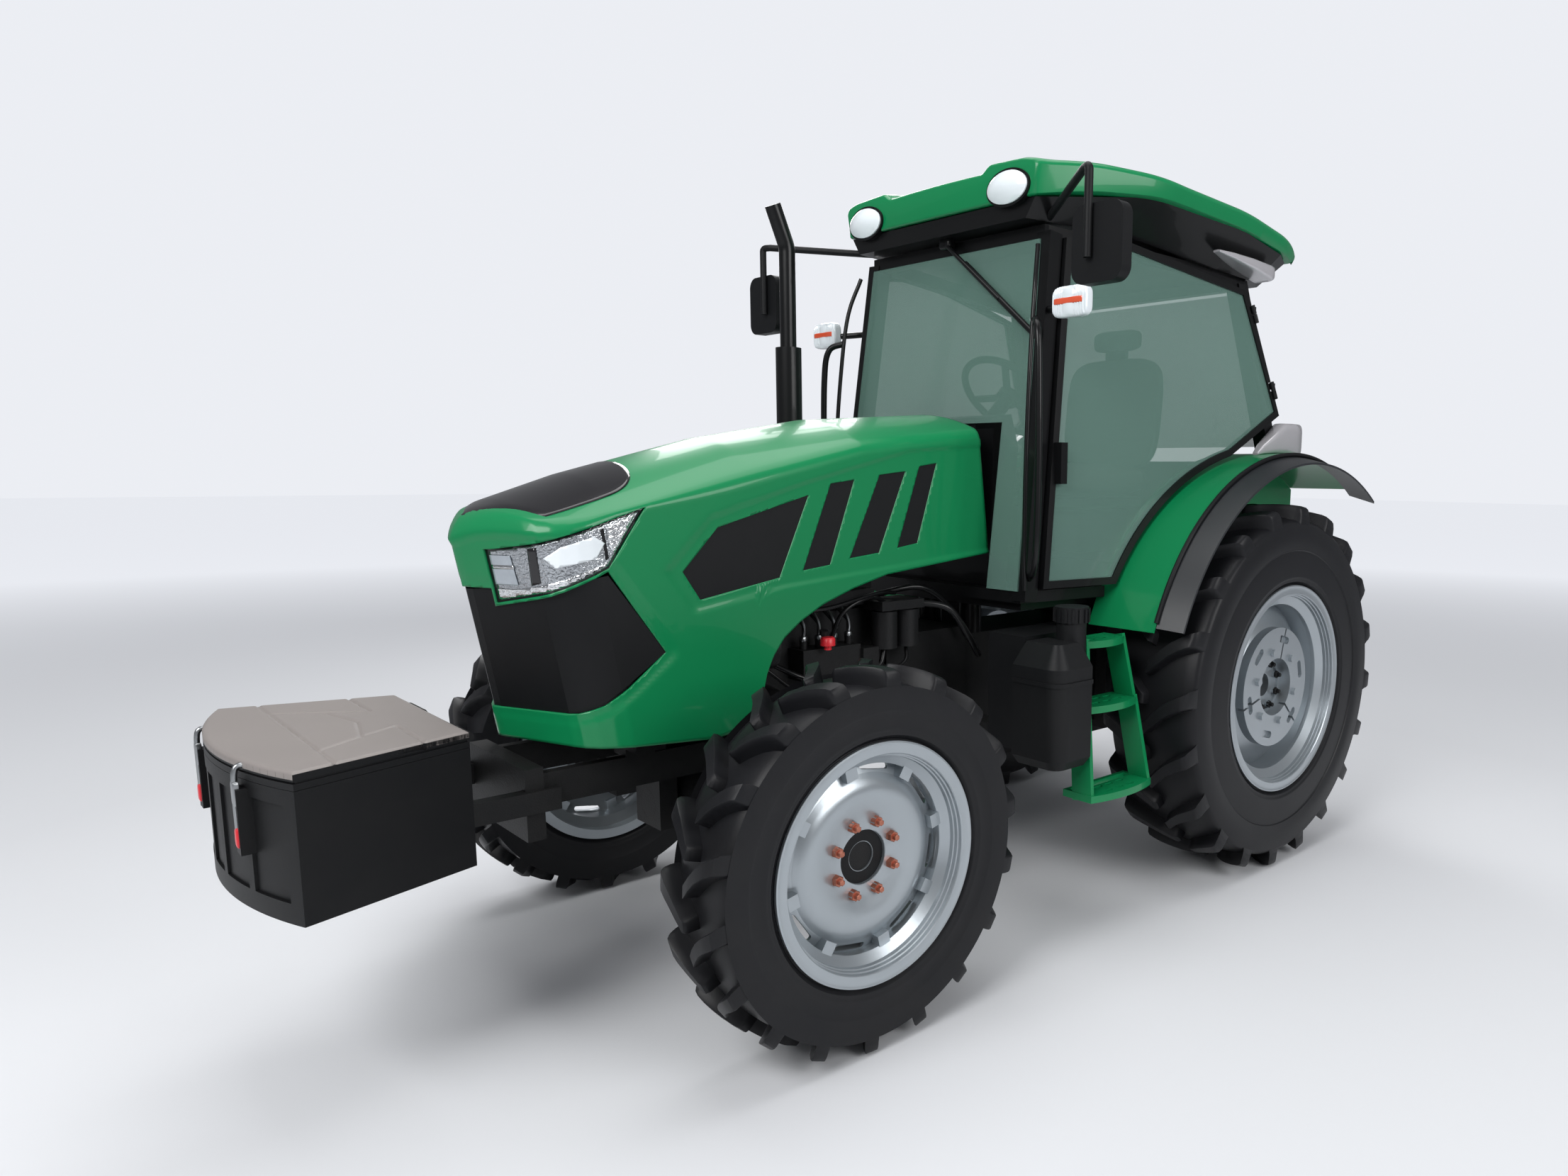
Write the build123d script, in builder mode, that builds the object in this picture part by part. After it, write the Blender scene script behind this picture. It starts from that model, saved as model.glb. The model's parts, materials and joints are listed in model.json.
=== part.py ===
"""Farm tractor of the 85 hp class with a glazed four-post cab and a front tool box.

Millimetres.  X is the tractor's left, Y runs from the nose to the hitch, Z is up.
The origin is on the ground, under the middle of the whole machine.
"""
from build123d import *
from math import cos, pi, radians, sin, sqrt
import os

os.makedirs("parts", exist_ok=True)

# ---------------------------------------------------------------- driving dimensions
WHEELBASE = 2045
FRONT_AXLE_Y = -842.5           # puts the origin midway between tool box and hitch
BOTH_SIDES = (1, -1)            # left, right

FRONT_TYRE = dict(lugs=18, x=775, back=0, radius=525, half=120, bead=305, flange=330, rim_half=110, well=262)
REAR_TYRE = dict(lugs=20, x=732, back=WHEELBASE, radius=717, half=188, bead=381, flange=406, rim_half=174, well=330)

KINGPIN_X = 560                 # steering axis, upright through the end of the front axle
STEERING_ARM = 210              # tie rod pins this far behind the steering axis
TIE_ROD_X = 560
TIE_ROD_Z = 430

HOOD_HALF = 320
HOOD_WALL = 18

FLOOR_Z = 1103
CAB_SLOPE = 0.1628              # the cab side widens by this much per mm rearwards
CAB_LEAN = 0.0605               # and leans in by this much per mm of height
CAB_SIDE_ORIGIN = (535, 950, 1100)
DOOR_THICKNESS = 28
DOOR_GLASS = 6

FENDER_CENTRE = dict(back=2200, z=661)
FENDER_RADIUS = 969
FENDER_X = (515, 800)
FENDER_SKIN = 9

LOWER_PIN = dict(back=2165, z=500)              # three-point hitch, front pins of the lower links
LOWER_LINK = 780
LINK_REACH = 380                                # from front pin to lift rod pin
LINK_DROOP = 4                                  # degrees below level as parked
ROCKSHAFT = dict(back=2200, z=1010)
LIFT_ARM = 320
LIFT_ARM_DROOP = 5
LIFT_EYE_BORE = 17.5                            # loose on its 10 mm pin


# ---------------------------------------------------------------- places and small makers
def at(x, back, z):
    """A point by its distance behind the front axle."""
    return Vector(x, FRONT_AXLE_Y + back, z)


def side(x=0):
    """Side view: local x runs rearwards from the front axle, local y up, out to the left."""
    return Plane(origin=at(x, 0, 0), x_dir=(0, 1, 0), z_dir=(1, 0, 0))


def across(back, x=0, z=0):
    """Front view: local x to the tractor's left, local y up, facing forward."""
    return Plane(origin=at(x, back, z), x_dir=(1, 0, 0), z_dir=(0, -1, 0))


def level(z):
    """Plan view: local x to the left, local y rearwards from the front axle."""
    return Plane(origin=at(0, 0, z))


def block(x, back, z, mode=Mode.ADD):
    """A box by its limits along X, behind the front axle and in height."""
    with Locations(at((x[0] + x[1]) / 2, (back[0] + back[1]) / 2, (z[0] + z[1]) / 2)):
        return Box(abs(x[1] - x[0]), abs(back[1] - back[0]), abs(z[1] - z[0]), mode=mode)


def rod(start, end, radius, mode=Mode.ADD):
    """A round bar between two points given as (x, back, z)."""
    first, last = at(*start), at(*end)
    with BuildSketch(Plane(origin=first, z_dir=last - first)) as profile:
        Circle(radius)
    return extrude(profile.sketch, amount=(last - first).length, mode=mode)


def bar(start, end, width, depth, mode=Mode.ADD):
    """A rectangular bar between two points; width lies along X as far as it can."""
    first, last = at(*start), at(*end)
    run = last - first
    across_run = Vector(1, 0, 0) if abs(run.normalized().X) < 0.8 else Vector(0, 1, 0)
    sideways = across_run - run.normalized() * across_run.dot(run.normalized())
    with BuildSketch(Plane(origin=first, x_dir=sideways, z_dir=run)) as profile:
        Rectangle(width, depth)
    return extrude(profile.sketch, amount=run.length, mode=mode)


def pipe(points, radius, bend):
    """A bent tube through points given as (x, back, z)."""
    with BuildLine() as path:
        FilletPolyline(*[at(*point) for point in points], radius=bend)
    with BuildSketch(Plane(origin=path.line @ 0, z_dir=path.line % 0)) as profile:
        Circle(radius)
    return sweep(profile.sketch, path=path.line)


def save(part, label):
    part.label = label
    export_step(part, f"parts/{label}.step")


def save_pair(part, kind):
    """Writes a left piece and its mirror image on the right."""
    save(part, kind + "_left")
    with BuildPart() as right:
        mirror(part, about=Plane.YZ)
    save(right.part, kind + "_right")


# ---------------------------------------------------------------- wheels
# lugs from the middle of the tread outwards: share of the half width, lag behind the nose in
# degrees, drop of the gap floor and of the lug's tip below the tyre's radius, and the widths of
# tip and foot as shares of the pitch
LUG_STATIONS = (
    (0.07, 0.0, 45, 3, 0.20, 0.31),
    (0.46, 5.5, 47, 0, 0.20, 0.32),
    (0.93, 9.5, 60, 9, 0.22, 0.38),
)
SHOULDER_LAG = LUG_STATIONS[-1][1]
NOSE_LEAD = LUG_STATIONS[1][1]          # puts the middle of a lug on the ground


def tread_ring(hub, across_x, lag, stagger, count, marks):
    """A ring of points round the axle; marks holds (share of the pitch, radius) of one pitch."""
    ring = []
    for index in range(count):
        for share, radius in marks:
            angle = radians((index + stagger + share) * 360 / count + NOSE_LEAD - lag)
            ring.append(hub + Vector(across_x, radius * sin(angle), -radius * cos(angle)))
    return ring


def band(first, second):
    """Triangles joining two rings with equal numbers of points."""
    for here in range(len(first)):
        ahead = (here + 1) % len(first)
        yield first[here], first[ahead], second[here]
        yield first[ahead], second[ahead], second[here]


def lug_root_band(coarse, fine):
    """Triangles from a ring of two points per pitch to one of four points per pitch."""
    for pitch in range(len(coarse) // 2):
        c0, c1, c2 = (coarse[(2 * pitch + step) % len(coarse)] for step in range(3))
        f0, f1, f2, f3, f4 = (fine[(4 * pitch + step) % len(fine)] for step in range(5))
        yield from ((c0, f0, f1), (c0, f1, f2), (c0, f2, c1), (c1, f2, f3), (c1, f3, f4), (c1, f4, c2))


def tyre(x, back, radius, half, bead, flange, rim_half, lugs, **_):
    """Ribbed drive tyre out to its lug tips; the bead sits 0.3 mm or more clear of the rim."""
    hub = at(x, back, radius)
    seat_half = rim_half - 8.3
    bead_radius = (bead + 0.3) / cos(pi / lugs / 2)
    tread = []
    for hand, stagger in ((1, 0), (-1, 0.5)):
        rings = []
        for across_x, ring_radius in ((seat_half, bead_radius), (seat_half, flange + 5),
                                      (half, (flange + radius) / 2 + 6)):
            marks = ((-0.25, ring_radius), (0.25, ring_radius))
            rings.append(tread_ring(hub, hand * across_x, SHOULDER_LAG, stagger, lugs, marks))
        for share, lag, root, tip, tip_width, foot_width in reversed(LUG_STATIONS):
            marks = ((-foot_width / 2, radius - root), (-tip_width / 2, radius - tip),
                     (tip_width / 2, radius - tip), (foot_width / 2, radius - root))
            rings.append(tread_ring(hub, hand * share * half, lag, stagger, lugs, marks))
        tread.append(rings)
    left, right = tread
    triangles = []
    for rings in tread:
        triangles += [*band(rings[0], rings[1]), *band(rings[1], rings[2]),
                      *lug_root_band(rings[2], rings[3]),
                      *band(rings[3], rings[4]), *band(rings[4], rings[5])]
    triangles += [*band(left[-1], right[-1][-2:] + right[-1][:-2]),
                  *band(left[0], right[0][-1:] + right[0][:-1])]
    faces = [Face(Wire.make_polygon(corners)) for corners in triangles]
    return Solid(Shell(faces))


def repeat_on_wheel(x, back, radius, outline, distance, count, first, start, depth, mode):
    """Repeats an outline round the axle from a plane so far outboard of the wheel's middle."""
    plane = Plane(origin=at(x + start, back, radius), x_dir=(0, 1, 0), z_dir=(1, 0, 0))
    with BuildSketch(plane) as profile:
        with PolarLocations(distance, count, start_angle=first):
            outline()
    return extrude(profile.sketch, amount=depth, mode=mode)


def rim(x, back, radius, bead, flange, rim_half, well, disc, hub, fittings, **_):
    """Rim barrel, dished disc and hub.

    disc holds (outboard, radius) points of the disc's outer face from the well inwards,
    hub holds radius, inner and outer end measured outboard from the wheel's middle,
    fittings holds what repeats round the axle.
    """
    wall = 8
    with BuildPart() as part:
        with BuildSketch(across(back, x, radius)):
            Polygon(
                (-rim_half, flange), (-rim_half + wall, flange), (-rim_half + wall, bead),
                (-rim_half + 40, bead - 2), (-rim_half + 60, well + wall), (rim_half - 60, well + wall),
                (rim_half - 40, bead - 2), (rim_half - wall, bead), (rim_half - wall, flange),
                (rim_half, flange), (rim_half, bead - wall), (rim_half - 36, bead - wall - 2),
                (rim_half - 55, well), (-rim_half + 55, well), (-rim_half + 36, bead - wall - 2),
                (-rim_half, bead - wall), align=None)
        axle = Axis(at(x, back, radius), (1, 0, 0))
        revolve(axis=axle)
        with BuildSketch(across(back, x, radius)):
            outer = [(w, r) for w, r in disc]
            inner = [(w - 9, r) for w, r in reversed(disc)]
            Polygon(*outer, *inner, align=None)
        revolve(axis=axle)
        with BuildSketch(across(back, x, radius)):
            Polygon((hub["inner"], hub["bore"]), (hub["outer"], hub["bore"]),
                    (hub["outer"], hub["radius"]), (hub["inner"], hub["radius"]), align=None)
        revolve(axis=axle)
        for fitting in fittings:
            repeat_on_wheel(x, back, radius, *fitting)
    return part.part


# outboard distance from the wheel's middle and radius, along the disc's outer face
FRONT_DISC = ((20, 266), (34, 235), (52, 190), (40, 150), (34, 125), (34, 75))
REAR_DISC = ((30, 334), (52, 300), (90, 235), (84, 180), (78, 150), (78, 100))
FRONT_HUB = dict(radius=125, bore=40.5, inner=-38, outer=25)
REAR_HUB = dict(radius=150, bore=45.5, inner=-60, outer=69)



def weight_ring():
    Circle(236)
    Circle(114, mode=Mode.SUBTRACT)


# outline, distance from the axle, number, first angle, outboard start, depth, mode
FRONT_FITTINGS = (
    (lambda: SlotOverall(100, 17, rotation=90), 247, 8, 35, -5, 50, Mode.SUBTRACT),     # disc slots
    (lambda: Rectangle(36, 38), 249, 8, 57.5, 12, 46, Mode.ADD),                        # rim clamps
    (lambda: RegularPolygon(15, 6), 101.5, 8, 22.5, 30, 22, Mode.ADD),                  # hub nuts
)
REAR_FITTINGS = (
    (weight_ring, 0, 1, 0, 76, 50, Mode.ADD),                                           # cast weights
    (lambda: Rectangle(150, 9), 175, 3, 75, 98, 40, Mode.SUBTRACT),                     # gaps between them
    (lambda: SlotOverall(74, 28, rotation=90), 190, 6, 15, 112, 20, Mode.SUBTRACT),     # lightening pockets
    (lambda: RegularPolygon(16, 6), 145, 6, 45, 120, 20, Mode.ADD),                     # weight bolts
    (lambda: RegularPolygon(14, 6), 88, 8, 22.5, 66, 20, Mode.ADD),                     # hub nuts
)

save_pair(tyre(**FRONT_TYRE), "front_tyre")
save_pair(rim(**FRONT_TYRE, disc=FRONT_DISC, hub=FRONT_HUB, fittings=FRONT_FITTINGS), "front_rim")
save_pair(tyre(**REAR_TYRE), "rear_tyre")
save_pair(rim(**REAR_TYRE, disc=REAR_DISC, hub=REAR_HUB, fittings=REAR_FITTINGS), "rear_rim")

# ---------------------------------------------------------------- front axle and steering
AXLE_Z = FRONT_TYRE["radius"]
TRUNNION = 62
PIVOT_PIN = 45

with BuildPart() as front_axle_beam:
    with BuildSketch(across(0, 0, AXLE_Z)):
        Polygon((-KINGPIN_X, 0), (-KINGPIN_X, 55), (-320, 60), (-125, 122), (125, 122), (320, 60),
                (KINGPIN_X, 55), (KINGPIN_X, 0), align=None)
    revolve(axis=Axis(at(0, 0, AXLE_Z), (1, 0, 0)))
    rod((0, -200, AXLE_Z), (0, 200, AXLE_Z), PIVOT_PIN)
    for hand in BOTH_SIDES:
        rod((hand * KINGPIN_X, 0, AXLE_Z - 85), (hand * KINGPIN_X, 0, AXLE_Z + 85), TRUNNION)
        rod((hand * KINGPIN_X, 0, AXLE_Z - 90), (hand * KINGPIN_X, 0, AXLE_Z + 90), 22.05, Mode.SUBTRACT)
save(front_axle_beam.part, "front_axle_beam")

with BuildPart() as knuckle:
    for z in ((AXLE_Z - 125, AXLE_Z - 90), (AXLE_Z + 90, AXLE_Z + 125)):
        block((KINGPIN_X - 55, KINGPIN_X + 75), (-60, 60), z)
    block((KINGPIN_X + 68, KINGPIN_X + 100), (-60, 60), (AXLE_Z - 125, AXLE_Z + 125))
    rod((KINGPIN_X, 0, AXLE_Z + 40), (KINGPIN_X, 0, AXLE_Z + 100), 22)
    rod((KINGPIN_X, 0, AXLE_Z - 100), (KINGPIN_X, 0, AXLE_Z - 40), 22)
    rod((KINGPIN_X + 90, 0, AXLE_Z), (732, 0, AXLE_Z), 115)
    rod((720, 0, AXLE_Z), (795, 0, AXLE_Z), 40)
    with BuildSketch(level(TIE_ROD_Z - 40)):
        with BuildLine():
            Polyline((KINGPIN_X + 60, 40), (KINGPIN_X + 60, 60), (TIE_ROD_X + 28, STEERING_ARM),
                     (TIE_ROD_X - 28, STEERING_ARM), (KINGPIN_X - 20, 60), (KINGPIN_X - 20, 40),
                     close=True)
        make_face()
        with Locations((TIE_ROD_X, STEERING_ARM)):
            Circle(28)
    extrude(amount=18)
    block((KINGPIN_X - 20, KINGPIN_X + 60), (20, 60), (TIE_ROD_Z - 40, TIE_ROD_Z - 20))
    rod((TIE_ROD_X, STEERING_ARM, TIE_ROD_Z - 30), (TIE_ROD_X, STEERING_ARM, TIE_ROD_Z + 14), 10)
save_pair(knuckle.part, "knuckle")

with BuildPart() as tie_rod:
    rod((-TIE_ROD_X, STEERING_ARM, TIE_ROD_Z), (TIE_ROD_X, STEERING_ARM, TIE_ROD_Z), 15)
    for hand in BOTH_SIDES:
        rod((hand * TIE_ROD_X, STEERING_ARM, TIE_ROD_Z - 18), (hand * TIE_ROD_X, STEERING_ARM, TIE_ROD_Z + 18), 26)
        rod((hand * TIE_ROD_X, STEERING_ARM, TIE_ROD_Z - 30),
            (hand * TIE_ROD_X, STEERING_ARM, TIE_ROD_Z + 15), 10.6, Mode.SUBTRACT)
save(tie_rod.part, "tie_rod")

# ---------------------------------------------------------------- chassis castings
with BuildPart() as front_frame:
    for hand in BOTH_SIDES:
        block((hand * 160, hand * 190), (-640, 430), (650, 740))
        block((hand * 175, hand * 215), (-812, -560), (640, 700))
    block((-200, 200), (-650, -600), (560, 760))
    block((-190, 190), (-190, 190), (655, 720))
    for back in ((-200, -140), (140, 200)):
        block((-75, 75), back, (AXLE_Z - 70, 660))
    rod((0, -210, AXLE_Z), (0, 210, AXLE_Z), PIVOT_PIN + 0.4, Mode.SUBTRACT)
save(front_frame.part, "front_frame")

INJECTORS = (250, 310, 370, 430)        # one per cylinder, behind the front axle

with BuildPart() as engine:
    block((-150, 150), (-60, 620), (750, 1090))                     # crankcase
    block((-140, 140), (210, 620), (575, 750))                      # sump
    block((-125, 125), (-40, 590), (1090, 1180))                    # head
    block((-90, 90), (-20, 560), (1180, 1250))                      # rocker cover
    for hand in BOTH_SIDES:
        block((hand * 120, hand * 190), (300, 420), (740, 760))     # feet on the rails
        block((hand * 120, hand * 190), (-360, -270), (740, 765))
    block((-255, 255), (-360, -270), (762, 1230))                   # radiator
    rod((0, -300, 1225), (0, -300, 1258), 32)
    rod((0, -270, 960), (0, -215, 960), 225)                        # fan and its shaft
    rod((0, -216, 960), (0, -50, 960), 60)
    rod((0, -110, 830), (0, -50, 830), 90)                          # crank and belt pulleys
    rod((215, -55, 1010), (215, 110, 1010), 68)                     # alternator
    rod((215, -95, 1010), (215, -50, 1010), 42)
    bar((140, 40, 930), (215, 40, 990), 60, 40)
    block((140, 235), (225, 455), (885, 985))                       # injection pump
    block((140, 250), (455, 520), (905, 970))
    for back in INJECTORS:
        rod((200, back, 980), (200, back, 1012), 12)
        pipe(((200, back, 1010), (200, back, 1062), (118, back - 25, 1135)), 5, 18)
    for back in (560, 655):                                         # fuel filters
        rod((232, back, 960), (232, back, 1085), 43)
        rod((232, back, 1085), (232, back, 1112), 26)
    block((140, 275), (515, 700), (1090, 1120))
    rod((150, 130, 830), (262, 130, 815), 48)                       # oil filter
    rod((192, 455, 800), (192, 612, 800), 55)                       # starter
    rod((192, 470, 872), (192, 590, 872), 24)
    block((135, 195), (470, 618), (780, 850))
    block((118, 178), (60, 560), (1105, 1155))                      # inlet manifold
    block((-205, -120), (60, 560), (1000, 1110))                    # exhaust manifold
    pipe(((150, 200, 1135), (215, 120, 1175), (215, -60, 1200), (160, -170, 1200)), 30, 60)
    pipe(((0, -290, 1190), (60, -200, 1235), (60, -60, 1235), (40, -20, 1200)), 22, 30)
    pipe(((180, -290, 800), (235, -240, 800), (235, -120, 860), (140, -40, 880)), 20, 35)
    rod((160, 330, 800), (240, 300, 1030), 6)                       # dipstick tube
    rod((240, 300, 1030), (243, 299, 1045), 14)
save(engine.part, "engine")

with BuildPart() as transmission:
    block((-170, 170), (620, 1000), (560, 985))
    block((-150, 150), (1000, 1800), (500, 950))
    block((-205, 205), (1800, 2240), (470, 960))
    block((-150, 150), (1900, 2160), (960, 1050))
    rod((0, 202, AXLE_Z), (0, 1020, AXLE_Z), 28)
    block((-440, 440), (880, 960), (640, 680))
    for hand in BOTH_SIDES:
        rod((hand * 200, WHEELBASE, REAR_TYRE["radius"]), (hand * 665, WHEELBASE, REAR_TYRE["radius"]), 105)
        rod((hand * 660, WHEELBASE, REAR_TYRE["radius"]), (hand * 760, WHEELBASE, REAR_TYRE["radius"]), 45)
        block((hand * 200, hand * 280), (2110, 2200), (455, 560))
        rod((hand * 270, LOWER_PIN["back"], LOWER_PIN["z"]), (hand * 322, LOWER_PIN["back"], LOWER_PIN["z"]), 14)
        block((hand * 27, hand * 42), (2230, 2320), (865, 940))
        block((hand * 195, hand * 245), (2140, 2240), (950, 1010))
        rod((hand * 205, ROCKSHAFT["back"], ROCKSHAFT["z"]), (hand * 255, ROCKSHAFT["back"], ROCKSHAFT["z"]), 48)
        rod((hand * 190, ROCKSHAFT["back"], ROCKSHAFT["z"]), (hand * 265, ROCKSHAFT["back"], ROCKSHAFT["z"]),
            32.06, Mode.SUBTRACT)
    rod((0, 2235, 640), (0, 2330, 640), 17.5)
    rod((-42, 2286, 900), (42, 2286, 900), 12)
    block((-110, 110), (2240, 2330), (715, 725))
save(transmission.part, "transmission")

with BuildPart() as drawbar:
    block((-40, 40), (1500, 2560), (405, 437))
    block((-100, 100), (2140, 2220), (437, 470))
    block((-90, 90), (1500, 1560), (437, 500))
    rod((0, 2520, 400), (0, 2520, 440), 16.5, Mode.SUBTRACT)
save(drawbar.part, "drawbar")

# ---------------------------------------------------------------- hood
# distance behind the front axle, height of the side crease, height of the crown
HOOD_STATIONS = (
    (-746, 1328, 1396),
    (-712, 1352, 1425),
    (-625, 1384, 1466),
    (-424, 1437, 1535),
    (-185, 1492, 1599),
    (0, 1535, 1647),
    (400, 1628, 1716),
    (935, 1690, 1754),
)
# half of the nose in plan at NOSE_LEVEL, from the prow to the flank, and the way each point moves
# when the form is shrunk by a millimetre
NOSE_PLAN = (
    ((0, -630), (0, 0.98)),
    ((30, -622), (-0.41, 0.91)),
    ((245, -525), (-0.5, 0.87)),
    ((296, -462), (-0.85, 0.53)),
    ((320, -390), (-1, 0)),
)
NOSE_LEVEL = 780
NOSE_RAKE = 100                 # the nose leans forward by this from lip to crown


def hood_form(inset, rear, floor):
    """The hood's outer form, shrunk by inset, filled solid down to floor."""
    with BuildPart() as form:
        for index, (back, crease, crown) in enumerate(HOOD_STATIONS):
            last = index == len(HOOD_STATIONS) - 1
            half = HOOD_HALF - inset
            with BuildSketch(across(rear if last else back)):
                with BuildLine():
                    Polyline((-half, crease - inset), (-half, floor), (half, floor), (half, crease - inset))
                    ThreePointArc((half, crease - inset), (0, crown - inset), (-half, crease - inset))
                make_face()
        loft(ruled=True)
        prow, front, shoulder, corner, flank = [
            (x + inset * dx, y + inset * dy) for (x, y), (dx, dy) in NOSE_PLAN]
        with BuildSketch(level(NOSE_LEVEL)):
            with BuildLine() as half_plan:
                ThreePointArc(flank, corner, shoulder)
                Line(shoulder, front)
                Line(front, prow)
            with BuildLine() as plan:
                add(half_plan.line)
                mirror(half_plan.line, about=Plane.YZ)
                Polyline(flank, (flank[0], 1200), (-flank[0], 1200), (-flank[0], flank[1]))
            make_face(plan.edges())
        extrude(amount=1100, dir=(0, -NOSE_RAKE, 570), mode=Mode.INTERSECT)
    return form.part


def side_cut(*points, mode=Mode.SUBTRACT):
    """A prism across the machine with its outline given in side view."""
    with BuildSketch(side(-1200)) as profile:
        Polygon(*points, align=None)
    return extrude(profile.sketch, amount=2400, mode=mode)


GRILLE = ((-900, 1238), (-700, 1230), (-449, 1272), (-291, 1051), (-512, 900), (-900, 900))
HEADLIGHT = ((-900, 1340), (-679, 1340), (-339, 1450), (-449, 1282), (-700, 1240), (-900, 1246))
HEADLIGHT_INNER_X = 112
HEX_SCREEN = ((196, 1477), (-121, 1388), (-234, 1269), (-181, 1187), (87, 1233))
# front lower corner, height of the lower end, width, length up the slope
SLOTS = (
    ((170, 1249), 104, (107, 261)),
    ((349, 1277), 121, (122, 260)),
    ((545, 1301), 89, (95, 264)),
)


def slot_outline(corner, width, rise):
    back, z = corner
    return ((back, z), (back + width, z + 12), (back + width + rise[0] - 10, z + rise[1] + 12),
            (back + rise[0], z + rise[1]))


HOOD_HINGE = (905, 1682)        # distance behind the front axle, height
HINGE_KNUCKLE = (125, 175)      # X of a hood knuckle's ends

with BuildPart() as hood:
    add(hood_form(0, 935, 700))
    with BuildSketch(side(-400)):
        with BuildLine():
            Polyline((11, 832), (-144, 782), (-540, 812), (-900, 830), (-900, 1900), (902, 1900),
                     (915, 1690), (970, 1266), (500, 1218))
            ThreePointArc((500, 1218), (156, 1095), (11, 832))
        make_face()
    extrude(amount=800, mode=Mode.INTERSECT)
    add(hood_form(HOOD_WALL, 1000, 600), mode=Mode.SUBTRACT)
    side_cut(*GRILLE)
    side_cut(*HEX_SCREEN)
    for corner, width, rise in SLOTS:
        side_cut(*slot_outline(corner, width, rise))
    with BuildSketch(side(HEADLIGHT_INNER_X)):
        Polygon(*HEADLIGHT, align=None)
    extrude(amount=400, mode=Mode.SUBTRACT)
    with BuildSketch(side(-HEADLIGHT_INNER_X)):
        Polygon(*HEADLIGHT, align=None)
    extrude(amount=-400, mode=Mode.SUBTRACT)
    for hand in BOTH_SIDES:
        start, end = (hand * x for x in HINGE_KNUCKLE)
        rod((start, *HOOD_HINGE), (end, *HOOD_HINGE), 14)
        block((start, end), (892, 910), (1687, 1720))
        rod((start, *HOOD_HINGE), (end, *HOOD_HINGE), 8.2, Mode.SUBTRACT)
save(hood.part, "hood")


def hood_skin(outer_inset, inner_inset):
    """A layer of the hood's form between two depths."""
    with BuildPart() as skin:
        add(hood_form(outer_inset, 935, 700))
        add(hood_form(inner_inset, 1000, 600), mode=Mode.SUBTRACT)
    return skin.part


screen_skin = hood_skin(8, 14)
with BuildPart() as hood_grilles:
    for outline in (GRILLE, HEX_SCREEN, *[slot_outline(*slot) for slot in SLOTS]):
        with BuildPart(mode=Mode.PRIVATE) as panel:
            add(screen_skin)
            side_cut(*outline, mode=Mode.INTERSECT)
        add(panel.part)
save(hood_grilles.part, "hood_grilles")

lens_skin = hood_skin(3, 45)
with BuildPart() as headlights:
    for hand in BOTH_SIDES:
        with BuildPart(mode=Mode.PRIVATE) as lamp:
            add(lens_skin)
            with BuildSketch(side(hand * HEADLIGHT_INNER_X)):
                Polygon(*HEADLIGHT, align=None)
            extrude(amount=hand * 400, mode=Mode.INTERSECT)
        add(lamp.part)
save(headlights.part, "headlights")

# ---------------------------------------------------------------- front tool box
BOX_FLOOR = 565
BOX_RIM = 868
BOX_TOP = 905


def box_outline(inset, mode=Mode.ADD):
    """Plan of the tool box: bowed front, tapering to the rear."""
    with BuildLine() as outline:
        Polyline((-410 + inset, -1215 + inset), (-285 + inset, -812 - inset), (285 - inset, -812 - inset),
                 (410 - inset, -1215 + inset))
        ThreePointArc((410 - inset, -1215 + inset), (0, -1298 + inset), (-410 + inset, -1215 + inset))
    make_face(outline.edges(), mode=mode)


LID_HINGE = (-794, 881)
BOX_PANELS = ((-372, -238), (-212, -78), (-52, 52), (78, 212), (238, 372))

with BuildPart() as box_recesses:
    for panel in BOX_PANELS:
        block(panel, (-1330, -1180), (612, 832))
    with BuildSketch(level(BOX_FLOOR)) as core:
        box_outline(6)
    extrude(core.sketch, amount=BOX_RIM - BOX_FLOOR, mode=Mode.SUBTRACT)

with BuildPart() as toolbox:
    with BuildSketch(level(BOX_FLOOR)):
        box_outline(0)
    extrude(amount=BOX_RIM - BOX_FLOOR)
    add(box_recesses.part, mode=Mode.SUBTRACT)
    with BuildSketch(level(BOX_FLOOR + 12)):
        box_outline(12)
    extrude(amount=BOX_RIM - BOX_FLOOR, mode=Mode.SUBTRACT)
    for x in (-225, 225):
        block((x - 20, x + 20), (-1292, -1240), (700, 850))
    for hand in BOTH_SIDES:
        block((hand * 185, hand * 230), (-816, LID_HINGE[0]), (838, 862))
        block((hand * 185, hand * 230), (-806, LID_HINGE[0]), (838, LID_HINGE[1]))
        rod((hand * 185, *LID_HINGE), (hand * 230, *LID_HINGE), 12.5)
        rod((hand * 122, *LID_HINGE), (hand * 230, *LID_HINGE), 5)
save(toolbox.part, "toolbox")

with BuildPart() as toolbox_lid:
    with BuildSketch(level(BOX_RIM + 1)):
        box_outline(0)
    extrude(amount=BOX_TOP - BOX_RIM - 1)
    with BuildSketch(level(BOX_RIM + 16)):
        box_outline(-20)
        box_outline(4, Mode.SUBTRACT)
    extrude(amount=5, mode=Mode.SUBTRACT)
    with BuildSketch(level(BOX_RIM + 1)):
        box_outline(14)
    extrude(amount=20, mode=Mode.SUBTRACT)
    for hand in BOTH_SIDES:
        block((hand * 120, hand * 180), (-816, LID_HINGE[0]), (874, 892))
        rod((hand * 120, *LID_HINGE), (hand * 180, *LID_HINGE), 12.5)
        rod((hand * 120, *LID_HINGE), (hand * 180, *LID_HINGE), 5.06, Mode.SUBTRACT)
save(toolbox_lid.part, "toolbox_lid")

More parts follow.
